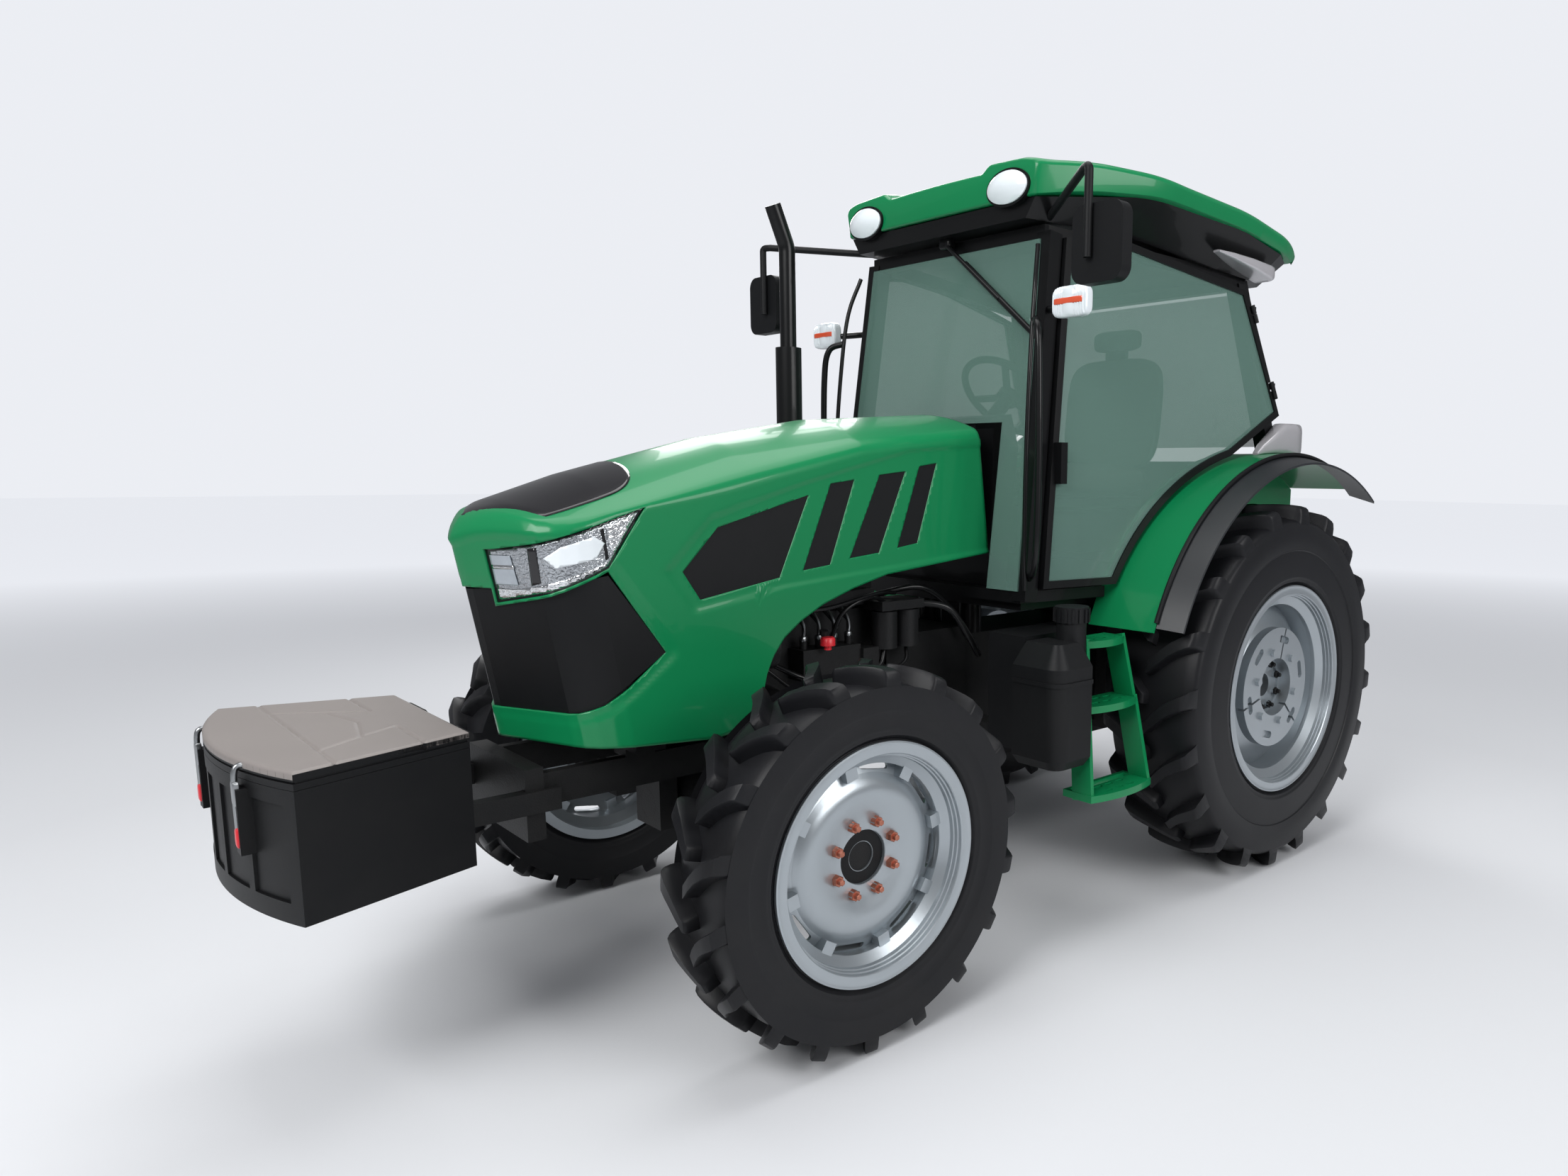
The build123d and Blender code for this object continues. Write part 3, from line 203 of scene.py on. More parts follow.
# ------------------------------------------------------------------ finishes
def group(name, inputs, outputs):
    """A shader node group with named sockets and its group input and output nodes."""
    tree = bpy.data.node_groups.new(name, "ShaderNodeTree")
    for direction, sockets in (("INPUT", inputs), ("OUTPUT", outputs)):
        for label, kind in sockets:
            tree.interface.new_socket(name=label, in_out=direction, socket_type=kind)
    return tree, tree.nodes.new("NodeGroupInput"), tree.nodes.new("NodeGroupOutput")


def noise_node(tree, vector, scale, detail=3.0):
    """A noise texture fed by a vector socket; scale is a number or a socket."""
    node = tree.nodes.new("ShaderNodeTexNoise")
    node.inputs["Detail"].default_value = detail
    tree.links.new(vector, node.inputs["Vector"])
    if isinstance(scale, (int, float)):
        node.inputs["Scale"].default_value = scale
    else:
        tree.links.new(scale, node.inputs["Scale"])
    return node


def maths(tree, operation, *values, clamp=False):
    """A maths node on sockets or numbers; returns its output socket."""
    node = tree.nodes.new("ShaderNodeMath")
    node.operation = operation
    node.use_clamp = clamp
    for socket, value in zip(node.inputs, values):
        if isinstance(value, (int, float)):
            socket.default_value = value
        else:
            tree.links.new(value, socket)
    return node.outputs[0]


def make_mottle_group():
    """Brightness that wanders: the colour times one plus noise about zero, times Amount."""
    tree, start, end = group(
        "Mottle", (("Vector", "NodeSocketVector"), ("Color", "NodeSocketColor"),
                   ("Scale", "NodeSocketFloat"), ("Amount", "NodeSocketFloat")),
        (("Color", "NodeSocketColor"),))
    noise = noise_node(tree, start.outputs["Vector"], start.outputs["Scale"])
    swing = maths(tree, "SUBTRACT", noise.outputs["Fac"], 0.5)
    factor = maths(tree, "MULTIPLY_ADD", swing, start.outputs["Amount"], 1.0)
    scaled = tree.nodes.new("ShaderNodeVectorMath")
    scaled.operation = "SCALE"
    tree.links.new(start.outputs["Color"], scaled.inputs[0])
    tree.links.new(factor, scaled.inputs["Scale"])
    tree.links.new(scaled.outputs[0], end.inputs["Color"])
    return tree


def make_dust_group():
    """Dust that thins out with height and gathers in patches of noise."""
    tree, start, end = group(
        "Road Dust", (("Vector", "NodeSocketVector"), ("Color", "NodeSocketColor"),
                      ("Dust Color", "NodeSocketColor"), ("Roughness", "NodeSocketFloat"),
                      ("Amount", "NodeSocketFloat"), ("Top", "NodeSocketFloat")),
        (("Color", "NodeSocketColor"), ("Roughness", "NodeSocketFloat")))
    split = tree.nodes.new("ShaderNodeSeparateXYZ")
    tree.links.new(start.outputs["Vector"], split.inputs[0])
    height = maths(tree, "DIVIDE", split.outputs["Z"], start.outputs["Top"])
    low = maths(tree, "SUBTRACT", 1.0, height, clamp=True)
    patches = noise_node(tree, start.outputs["Vector"], 7.0, 6.0)
    patchy = maths(tree, "MULTIPLY_ADD", patches.outputs["Fac"], 1.6, -0.3, clamp=True)
    mask = maths(tree, "MULTIPLY", patchy, maths(tree, "MULTIPLY_ADD", low, 0.8, 0.2), clamp=True)
    mask = maths(tree, "MULTIPLY", mask, start.outputs["Amount"], clamp=True)
    mix = tree.nodes.new("ShaderNodeMix")
    mix.data_type = "RGBA"
    tree.links.new(mask, mix.inputs["Factor"])
    tree.links.new(start.outputs["Color"], mix.inputs["A"])
    tree.links.new(start.outputs["Dust Color"], mix.inputs["B"])
    tree.links.new(mix.outputs["Result"], end.inputs["Color"])
    rough = maths(tree, "MULTIPLY_ADD", mask, 0.6, start.outputs["Roughness"], clamp=True)
    tree.links.new(rough, end.inputs["Roughness"])
    return tree


def make_grain_group():
    """Moulded or cast grain: fine noise over coarse noise, as a height."""
    tree, start, end = group(
        "Grain", (("Vector", "NodeSocketVector"), ("Scale", "NodeSocketFloat"),
                  ("Coarse Share", "NodeSocketFloat")), (("Height", "NodeSocketFloat"),))
    fine = noise_node(tree, start.outputs["Vector"], start.outputs["Scale"], 2.0)
    coarse = noise_node(tree, start.outputs["Vector"],
                        maths(tree, "MULTIPLY", start.outputs["Scale"], 0.12), 2.0)
    height = maths(tree, "MULTIPLY_ADD", coarse.outputs["Fac"], start.outputs["Coarse Share"],
                   fine.outputs["Fac"])
    tree.links.new(height, end.inputs["Height"])
    return tree


GROUPS = {"mottle": make_mottle_group(), "dust": make_dust_group(), "grain": make_grain_group()}
DUST_COLOUR = (0.3, 0.27, 0.22, 1.0)
COARSE_SHARE, BUMP_DEPTH, COAT_ROUGHNESS = 0.6, 0.002, 0.04
FINISH = {}


def linear(red, green, blue):
    """Linear colour from 0-255 values."""
    return tuple(((c / 255 + 0.055) / 1.055) ** 2.4 for c in (red, green, blue)) + (1.0,)


def finish(name, colour, roughness, metallic=0.0, coat=0.0, mottle=(6.0, 0.12), grain=(400.0, 0.05),
           dust=0.0, dust_top=1.2, alpha=1.0, ior=1.5):
    """A Principled finish with wandering colour, a film of dust and a grained surface."""
    material = bpy.data.materials.new(name)
    material.use_nodes = True
    tree = material.node_tree
    shader = tree.nodes["Principled BSDF"]
    vector = tree.nodes.new("ShaderNodeTexCoord").outputs["Object"]

    def placed(kind, values):
        """A finish group on the object's own coordinates, with its sockets set."""
        node = tree.nodes.new("ShaderNodeGroup")
        node.node_tree = GROUPS[kind]
        tree.links.new(vector, node.inputs["Vector"])
        for socket, value in values.items():
            node.inputs[socket].default_value = value
        return node

    for socket, value in {"Roughness": roughness, "Metallic": metallic, "Coat Weight": coat,
                          "Coat Roughness": COAT_ROUGHNESS, "IOR": ior, "Alpha": alpha}.items():
        shader.inputs[socket].default_value = value
    colour_out = placed("mottle", {"Color": colour, "Scale": mottle[0], "Amount": mottle[1]}).outputs["Color"]
    if dust:
        film = placed("dust", {"Dust Color": DUST_COLOUR, "Roughness": roughness, "Amount": dust,
                               "Top": dust_top})
        tree.links.new(colour_out, film.inputs["Color"])
        colour_out = film.outputs["Color"]
        tree.links.new(film.outputs["Roughness"], shader.inputs["Roughness"])
    tree.links.new(colour_out, shader.inputs["Base Color"])
    if grain[1]:
        grained = placed("grain", {"Scale": grain[0], "Coarse Share": COARSE_SHARE})
        bump = tree.nodes.new("ShaderNodeBump")
        bump.inputs["Strength"].default_value = grain[1]
        bump.inputs["Distance"].default_value = BUMP_DEPTH
        tree.links.new(grained.outputs["Height"], bump.inputs["Height"])
        tree.links.new(bump.outputs["Normal"], shader.inputs["Normal"])
    return material


def make_finishes():
    green = (*bpy.context.scene.tractor_paint.green, 1.0)
    smooth = (1.0, 0.0)
    FINISH.update(
        green=finish("green_paint", green, 0.3, coat=0.25, mottle=(2.0, 0.08), grain=(60.0, 0.012),
                     dust=0.01, ior=1.33),
        black=finish("black_paint", (0.0045, 0.0048, 0.0054, 1), 0.3, coat=0.15, grain=(300.0, 0.03),
                     dust=0.02, ior=1.28),
        casting=finish("dark_casting", (0.0075, 0.008, 0.009, 1), 0.5, grain=(220.0, 0.35), dust=0.05,
                       ior=1.3),
        steel=finish("plain_steel", linear(165, 168, 170), 0.32, metallic=1.0, grain=(500.0, 0.05)),
        plastic=finish("black_plastic", (0.0055, 0.006, 0.007, 1), 0.46, grain=(900.0, 0.18), dust=0.02,
                       ior=1.28),
        lid=finish("lid_plastic", linear(128, 122, 119), 0.5, grain=(900.0, 0.2), dust=0.05),
        flap=finish("flap_rubber", (0.013, 0.015, 0.018, 1), 0.38, grain=(700.0, 0.1), dust=0.03),
        tyre=finish("tyre_rubber", (0.007, 0.0074, 0.0092, 1), 0.4, mottle=(9.0, 0.25),
                    grain=(500.0, 0.12), dust=0.02, dust_top=1.6, ior=1.3),
        rim=finish("silver_rim", linear(166, 173, 178), 0.3, metallic=0.75, coat=0.2, mottle=(5.0, 0.1),
                   grain=(350.0, 0.05), dust=0.06),
        glass=finish("tinted_glass", linear(104, 136, 126), 0.03, alpha=0.52, mottle=(1.0, 0.05),
                     grain=smooth),
        lens=finish("lamp_lens", linear(225, 232, 236), 0.05, coat=1.0, mottle=(3.0, 0.04), grain=smooth),
        copper=finish("copper_nuts", linear(176, 112, 92), 0.35, metallic=0.8, mottle=(80.0, 0.2),
                      grain=(500.0, 0.1)),
        gloss=finish("gloss_black", (0.0085, 0.008, 0.0095, 1), 0.14, coat=0.4, mottle=(3.0, 0.05),
                     grain=smooth, ior=1.4),
        lamp_bowl=finish("lamp_bowl", linear(176, 180, 184), 0.16, metallic=0.95, mottle=(240.0, 1.3),
                         grain=(140.0, 1.0)),
        reflector=finish("reflector", linear(226, 228, 230), 0.12, metallic=1.0, mottle=(300.0, 0.5),
                         grain=(120.0, 0.9)),
        smoked=finish("smoked_lens", linear(150, 158, 166), 0.08, coat=1.0, mottle=(30.0, 0.35),
                      grain=(90.0, 0.1)),
        amber=finish("amber_lens", linear(214, 84, 52), 0.12, coat=1.0, mottle=(30.0, 0.1), grain=smooth),
        red=finish("red_plastic", linear(205, 38, 48), 0.35, mottle=(20.0, 0.1), grain=(300.0, 0.05)),
        silver=finish("silver_pods", linear(196, 194, 198), 0.25, metallic=0.5, coat=0.6,
                      mottle=(9.0, 0.1), grain=(200.0, 0.02)),
        seat=finish("seat_cloth", linear(110, 120, 112), 0.9, mottle=(60.0, 0.3), grain=(1200.0, 0.5)),
    )


SLOT_FINISH = {
    "green_paint": "green", "dark_castings": "casting", "black_paint": "black", "plain_steel": "steel",
    "black_plastic": "plastic", "grey_plastic": "lid", "flap_rubber": "flap", "tinted_glass": "glass",
    "lamp_lens": "lens", "tyre": "tyre", "silver_rims": "rim", "seat_cloth": "seat",
}


def dress_nodes():
    """Gives every CAD node the finish of its material slot."""
    for part in frame["record"]["subparts"]:
        mesh = NODES[part["node"]].data
        mesh.materials.clear()
        mesh.materials.append(FINISH[SLOT_FINISH[part["material_slot"]]])
        mesh.polygons.foreach_set("material_index", np.zeros(len(mesh.polygons), np.int32))


# ------------------------------------------------------------------ tyres
# x and back of the wheel's middle, half width and seat on the rim (both across), radii, lugs on each side
WHEELS = {
    "front": dict(x=0.775, back=0.0, radius=0.525, half=0.12, seat=0.1017, bead=0.3065, flange=0.33,
                  well=0.262, lugs=18),
    "rear": dict(x=0.732, back=2.045, radius=0.717, half=0.188, seat=0.1657, bead=0.383, flange=0.406,
                 well=0.33, lugs=20),
}
WHEEL_STEPS = 144
# wall over the rim: share of the way from seat to half width, rise over the flange
WALL_FOOT = ((0.62, 0.016), (0.7, 0.022), (0.7, 0.026), (0.82, 0.03), (0.84, 0.036))
# wall: share of the half width, rise over the wall's middle
WALL_MIDDLE = ((0.955, -0.022), (0.975, -0.018), (0.978, -0.012), (1.0, 0.006))
# shoulder and crown: share of the half width, drop from the wheel's radius
CROWN = ((0.965, 0.068), (0.9, 0.06), (0.7, 0.052), (0.46, 0.0475), (0.2, 0.0458), (0.0, 0.0455))
CROWN_DEPTH = 0.075
LUG_LEAD = 5.5                          # degrees
LUG_SINK = 0.01                         # into the carcass
LUG_SHOULDER, SHOULDER_FOOT = 0.94, 0.08        # share of the half width, drop of the foot beyond it
# share of the half width, lag in degrees, drop of the lug's top, half width in shares of the pitch
LUG_PATH = ((-0.02, -0.9, 0.012, 0.07), (0.02, -0.4, 0.004, 0.095), (0.07, 0.0, 0.002, 0.105),
            (0.26, 2.9, 0.0006, 0.108), (0.46, 5.5, 0, 0.11), (0.66, 7.4, 0.0008, 0.114),
            (0.84, 8.8, 0.004, 0.12), (0.93, 9.5, 0.009, 0.124), (0.965, 9.9, 0.017, 0.128),
            (0.982, 10.2, 0.034, 0.132), (0.99, 10.4, 0.056, 0.136))
# a lug's section: share of its half angle, share of its height
LUG_SECTION = ((-1.35, 0.0), (-1.1, 0.62), (-1.02, 0.93), (-0.9, 1.0), (0.9, 1.0), (1.02, 0.93),
               (1.1, 0.62), (1.35, 0.0))


def wheel_points(hand, wheel, across, radius, angle):
    """Points at distances outboard of the wheel's middle, radii from the axle and angles round it.

    x = side times (wheel x + across), y = axle + radius sin(angle), z = axle height - radius cos(angle)."""
    across, radius, angle = np.broadcast_arrays(across, radius, angle)
    return behind(np.stack((hand * (wheel["x"] + across), wheel["back"] + radius * np.sin(angle),
                            wheel["radius"] - radius * np.cos(angle)), axis=-1))


def turned(hand, wheel, section, steps=WHEEL_STEPS):
    """A closed section of (across, radius) turned round the wheel's axle."""
    section = np.asarray(section)
    verts = wheel_points(hand, wheel, section[:, :1], section[:, 1:], circle(steps))
    return verts, grid_faces(len(section), steps, wrap_rows=True, wrap_columns=True)


def carcass_profile(wheel):
    """Half section of the carcass, from the bead over the wall and the shoulder to the crown's middle."""
    half, seat, bead, top, flange = (wheel[key] for key in ("half", "seat", "bead", "radius", "flange"))
    middle = (flange + top) / 2
    return np.array([
        (seat, bead + 0.001), (seat - 0.002, flange + 0.004), (seat + 0.004, flange + 0.01),
        *((seat + (half - seat) * share, flange + rise) for share, rise in WALL_FOOT),
        *((half * share, middle + rise) for share, rise in WALL_MIDDLE),
        (half * 0.995, (middle + top) / 2),
        *((half * share, top - drop) for share, drop in CROWN)])


def tyre_surface(hand, wheel):
    """The carcass is its section turned round the axle; each lug is a bar swept along LUG_PATH.

    A bar's point is (across, foot plus share of the height, middle angle plus share of the half angle)."""
    half_section = carcass_profile(wheel)
    soup = Soup().add(*turned(hand, wheel, np.concatenate((half_section, half_section[-2::-1] * (-1, 1)))))
    share, lag, drop, half_pitch = np.array(LUG_PATH).T
    pitch = 360 / wheel["lugs"]
    crown = half_section[half_section[:, 1] > wheel["radius"] - CROWN_DEPTH][::-1]
    floor = np.interp(np.abs(share) * wheel["half"], crown[:, 0], crown[:, 1])
    foot = np.where(share < LUG_SHOULDER, floor - LUG_SINK, wheel["radius"] - SHOULDER_FOOT)
    height = wheel["radius"] - drop - foot
    for side, stagger in ((1, 0.0), (-1, 0.5)):
        for index in range(wheel["lugs"]):
            middle = (index + stagger) * pitch + LUG_LEAD - lag
            soup.add(*capped(np.stack([
                wheel_points(hand, wheel, hand * side * share * wheel["half"], foot + height * rise,
                             np.radians(middle + width * half_pitch * pitch))
                for width, rise in LUG_SECTION], axis=1), flip=side > 0))
    return soup


def make_tyres():
    for end, wheel in WHEELS.items():
        for name, hand in SIDES:
            tyre = tyre_surface(hand, wheel).piece(f"lugged_{end}_tyre_{name}", "tyre", f"wheel_{end}_{name}",
                                                   sharp=35)
            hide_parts(f"{end}_tyre_{name}")


# ------------------------------------------------------------------ wheel fittings
# outboard of the tyre's seat and inwards of the bead's radius, along the rim's lip and steps
RIM_STEPS = np.array(((0.011, -0.024), (0.012, -0.0195), (0.01, -0.0145), (0.0095, -0.005),
                      (0.0095, 0.0085), (0.007, 0.011), (-0.003, 0.012), (-0.0045, 0.0155),
                      (-0.015, 0.0165), (-0.0165, 0.02), (-0.028, 0.0215)))
RIM_WALL = (-0.0009, 0.0003)            # from the section's face to its back
WELL_SKIN, WELL_REACH = 0.0015, (0.047, 0.062)      # under the well's radius, inboard of the seat
# across and radius: the front disc's bulged face, and the black end of its hub
FRONT_FACE = ((0.0355, 0.232), (0.043, 0.22), (0.05, 0.208), (0.0545, 0.192), (0.0555, 0.175),
              (0.053, 0.156), (0.048, 0.137), (0.0425, 0.12), (0.0385, 0.104), (0.0362, 0.09),
              (0.0355, 0.0762))
HUB_END = ((0.0262, 0.0742), (0.0262, 0.042))
PLATE_WALL, PLATE_STEPS = (0.0008, 0), 120
# end, finish, across, radius of the bolt circle, half width, height
NUTS = (("front", "copper", 0.0335, 0.1015, 0.0162, 0.021), ("rear", "casting", 0.078, 0.088, 0.0152, 0.01))
NUT_COUNT, FIRST_NUT = 8, 112.5         # degrees
# share of the nut's height, length of stud over it, share of the half width
NUT_RINGS = ((0.0, 0.0, 1.0), (0.82, 0.0, 1.0), (1.0, 0.0, 0.86), (1.0, 0.0, 0.55), (1.0, 0.012, 0.55),
             (1.0, 0.014, 0.385))


def make_rim_rings():
    """The rims' lips and the steps behind them: a thin closed section turned round the axle."""
    for end, wheel in WHEELS.items():
        outer = np.concatenate(((wheel["seat"], wheel["bead"]) + RIM_STEPS * (1, -1),
                                [(wheel["seat"] - reach, wheel["well"] - WELL_SKIN) for reach in WELL_REACH]))
        section = np.concatenate((outer, (outer + RIM_WALL)[::-1]))
        for name, hand in SIDES:
            ring = Soup().add(*turned(hand, wheel, section)).piece(f"{end}_rim_ring_{name}", "rim",
                                                                   f"wheel_{end}_{name}", sharp=25)


def make_front_faces():
    """Thin plates over the front wheels: each face turned round the axle, with a back under it."""
    for name, hand in SIDES:
        for label, face, finish_name, slot in (("disc_face", FRONT_FACE, "rim", "silver_rims"),
                                               ("hub_end", HUB_END, "plastic", "black_plastic")):
            section = np.concatenate((face, np.array(face[::-1]) - PLATE_WALL))
            plate = Soup().add(*turned(hand, WHEELS["front"], section, PLATE_STEPS)).piece(
                f"front_{label}_{name}", finish_name, f"wheel_front_{name}", sharp=30)


def nut(centre, hand, size, height):
    """A chamfered hexagon on a stud, its axis along X: rings of six points of changing radius."""
    return capped([[centre + (hand * (rise * height + stud), size * share * math.cos(turn),
                              size * share * math.sin(turn)) for turn in math.radians(30) + circle(6)]
                   for rise, stud, share in NUT_RINGS])


def make_wheel_nuts():
    """Copper-coloured nuts on the front hubs, plain ones on the rear hubs and weights."""
    for end, finish_name, across, radius, size, height in NUTS:
        for name, hand in SIDES:
            soup = Soup()
            for turn in math.radians(FIRST_NUT) + circle(NUT_COUNT):
                soup.add(*nut(wheel_points(hand, WHEELS[end], across, radius, turn), hand, size, height))
            piece = soup.piece(f"{end}_wheel_nuts_{name}", finish_name, f"wheel_{end}_{name}", sharp=30)


# ------------------------------------------------------------------ hood
# back, height of the crease between flank and crown, height of the crown
HOOD_LINES = np.array((
    (-0.746, 1.328, 1.395), (-0.712, 1.352, 1.424), (-0.625, 1.384, 1.465), (-0.424, 1.437, 1.534),
    (-0.185, 1.492, 1.598), (0.0, 1.535, 1.646), (0.4, 1.628, 1.715), (0.935, 1.69, 1.753)))
# x and back of the nose in plan at NOSE_LEVEL, from the prow to the flank, and the columns on each stretch
NOSE_PLAN = np.array(((0.0, -0.63), (0.01, -0.6285), (0.03, -0.622), (0.245, -0.525), (0.272, -0.507),
                      (0.296, -0.475), (0.312, -0.432), (0.3195, -0.39)))
NOSE_COLUMNS = (2, 3, 28, 5, 5, 5, 5)
NOSE_LEVEL = 0.78
RAKE = 100 / 570                        # how far the nose leans forward per metre of height
FLANK_X = 0.3195
FLANK_START, FLANK_END = -0.39, 0.5    # back
FLANK_COLUMNS, REAR_COLUMNS, WALL_ROWS, CROWN_ROWS = 96, 41, 66, 25
# radius of the edge between wall and crown, by its place behind the front axle
EDGE_BACK = (-0.74, -0.66, -0.6, -0.5, -0.42, -0.33, -0.1, 0.2)
EDGE_RADIUS = (0.058, 0.05, 0.034, 0.018, 0.01, 0.012, 0.026, 0.03)
EDGE_ANGLES = (15, 30, 45, 60, 75, 90)  # degrees of its quarter circle
# back and height of the hood's foot
HOOD_FOOT = np.array(((-0.9, 0.83), (-0.54, 0.812), (-0.144, 0.782), (0.008, 0.806), (0.011, 0.832),
                      (0.018, 0.89), (0.032, 0.946), (0.056, 0.999), (0.095, 1.05), (0.156, 1.0955),
                      (0.24, 1.14), (0.36, 1.182), (0.5, 1.218), (0.97, 1.266)))
HOOD_REAR = ((1.266, 0.97), (1.69, 0.915), (1.76, 0.911))       # height, back
# openings in side view (back, height), as in the model under them
GRILLE = np.array(((-0.9, 1.236), (-0.6704, 1.236), (-0.662, 1.188), (-0.449, 1.283), (-0.291, 1.051),
                   (-0.4, 0.966), (-0.47, 0.922), (-0.53, 0.903), (-0.9, 0.9)))
HEADLIGHT = np.array(((-0.9, 1.34), (-0.679, 1.34), (-0.339, 1.45), (-0.446, 1.292), (-0.66, 1.197),
                      (-0.9, 1.197)))
HEX_SCREEN = np.array(((0.196, 1.477), (-0.121, 1.388), (-0.234, 1.269), (-0.181, 1.187), (0.087, 1.233)))
# back, height and width of each slot's foot, and the way to its top
SLOTS = [np.array(((b, z), (b + w, z + 0.012), (b + w + dx - 0.01, z + dz + 0.012), (b + dx, z + dz)))
         for b, z, w, dx, dz in ((0.17, 1.249, 0.104, 0.107, 0.261), (0.349, 1.277, 0.121, 0.122, 0.26),
                                 (0.545, 1.301, 0.089, 0.095, 0.264))]
HEADLIGHT_INNER_X, FLANK_INNER_X = 0.1, 0.3
OPENINGS = [(GRILLE, 0.0), (HEADLIGHT, HEADLIGHT_INNER_X),
            *((outline, FLANK_INNER_X) for outline in (HEX_SCREEN, *SLOTS))]
# the flank is pressed in behind this outline
POCKET = np.array(((-0.285, 1.272), (-0.202, 1.158), (0.1, 1.206), (0.98, 1.278), (0.98, 1.64),
                   (0.6, 1.615), (0.18, 1.512), (-0.14, 1.418)))
PRESS_DEPTH, GRILLE_RIM, RIM_FRONT = 0.004, 0.02, -0.72
ON_CROWN = 0.004                        # under the crown's height by less than this, no opening cuts
# how near the middle of a face has to be for it to be cut: to an edge, behind the inner end, at the inner end
NEAR_EDGE, NEAR_BEHIND, NEAR_OUTLINE, NEAR_END = 0.014, 0.03, 0.01, 0.02
PANEL_ROUND, PANEL_CORNER, PANEL_FRONT = 0.055, 3.5, 0.03
SINK_FLANK, SINK_NOSE = (1, 0, 0), (0.42, -0.9, 0)


def crown_height(x, back):
    """Height of the crown: a parabola across the hood between crease and crown."""
    crease, top = (np.interp(back, HOOD_LINES[:, 0], column) for column in HOOD_LINES.T[1:])
    return top - (top - crease) * (x / FLANK_X) ** 2


def outline_distance(points, outline):
    """Distance of side-view points to a closed outline, below nought inside it."""
    best = np.full(len(points), np.inf)
    inside = np.zeros(len(points), bool)
    for start, end in zip(outline, np.roll(outline, -1, axis=0)):
        along = end - start
        best = np.minimum(best, line_gap(points, start, along))
        crossing = (start[1] > points[:, 1]) != (end[1] > points[:, 1])
        level = np.where(crossing, (points[:, 1] - start[1]) / (along[1] + 1e-12), 0)
        inside ^= crossing & (points[:, 0] < start[0] + level * along[0])
    return np.where(inside, -best, best)


def pressing(points):
    """How far the sheet lies under its outline: a rim round the grille, and the pocket behind it."""
    rim = smooth_step(1 - (outline_distance(points, GRILLE) - GRILLE_RIM) / 0.01)
    pocket = smooth_step(0.5 - outline_distance(points, POCKET) / 0.014)
    return PRESS_DEPTH * (rim * (points[:, 0] > RIM_FRONT) + pocket)


def trimmed(points, faces, outlines, inside=False):
    """A surface cut along side-view outlines by planes that hold an edge of the outline and the X axis.

    Each outline comes with the half width inside which it isn't cut. The faces within the outlines are
    dropped, or kept alone."""
    mesh = bpy.data.meshes.new("trimming")
    mesh.from_pydata(points.tolist(), [], [list(face) for face in faces])
    work = bmesh.new()
    work.from_mesh(mesh)
    bpy.data.meshes.remove(mesh)

    def middles():
        """X and the side view of the middle of every present face."""
        found = np.array([face.calc_center_median() for face in work.faces])
        return found[:, 0], found[:, 1:]

    def marked(mask):
        return [face for face, chosen in zip(work.faces, mask) if chosen]

    def cut(mask, at, normal):
        chosen = marked(mask)
        edges = dict.fromkeys(edge for face in chosen for edge in face.edges)
        verts = dict.fromkeys(vert for edge in edges for vert in edge.verts)
        bmesh.ops.bisect_plane(work, geom=[*chosen, *edges, *verts], dist=1e-6, plane_co=at, plane_no=normal)

    for outline, inner_x in outlines:
        for start, end in zip(outline, np.roll(outline, -1, axis=0)):
            x, side_view = middles()
            along = end - start
            near = (line_gap(side_view, start, along) < NEAR_EDGE) & (x > inner_x - NEAR_BEHIND)
            cut(near, (0, *start), (0, -along[1], along[0]))
        if inner_x:
            x, side_view = middles()
            near = (outline_distance(side_view, outline) < NEAR_OUTLINE) & (np.abs(x - inner_x) < NEAR_END)
            cut(near, (inner_x, 0, 0), (1, 0, 0))
    x, side_view = middles()
    within = np.zeros(len(x), bool)
    for outline, inner_x in outlines:
        within |= (outline_distance(side_view, outline) < 0) & (x > inner_x)
    within &= side_view[:, 1] < crown_height(x, side_view[:, 0]) - ON_CROWN
    bmesh.ops.delete(work, geom=marked(within != inside), context="FACES")
    work.verts.index_update()
    verts = np.array([vert.co for vert in work.verts])
    kept = [[vert.index for vert in face.verts] for face in work.faces]
    work.free()
    return behind(verts), kept


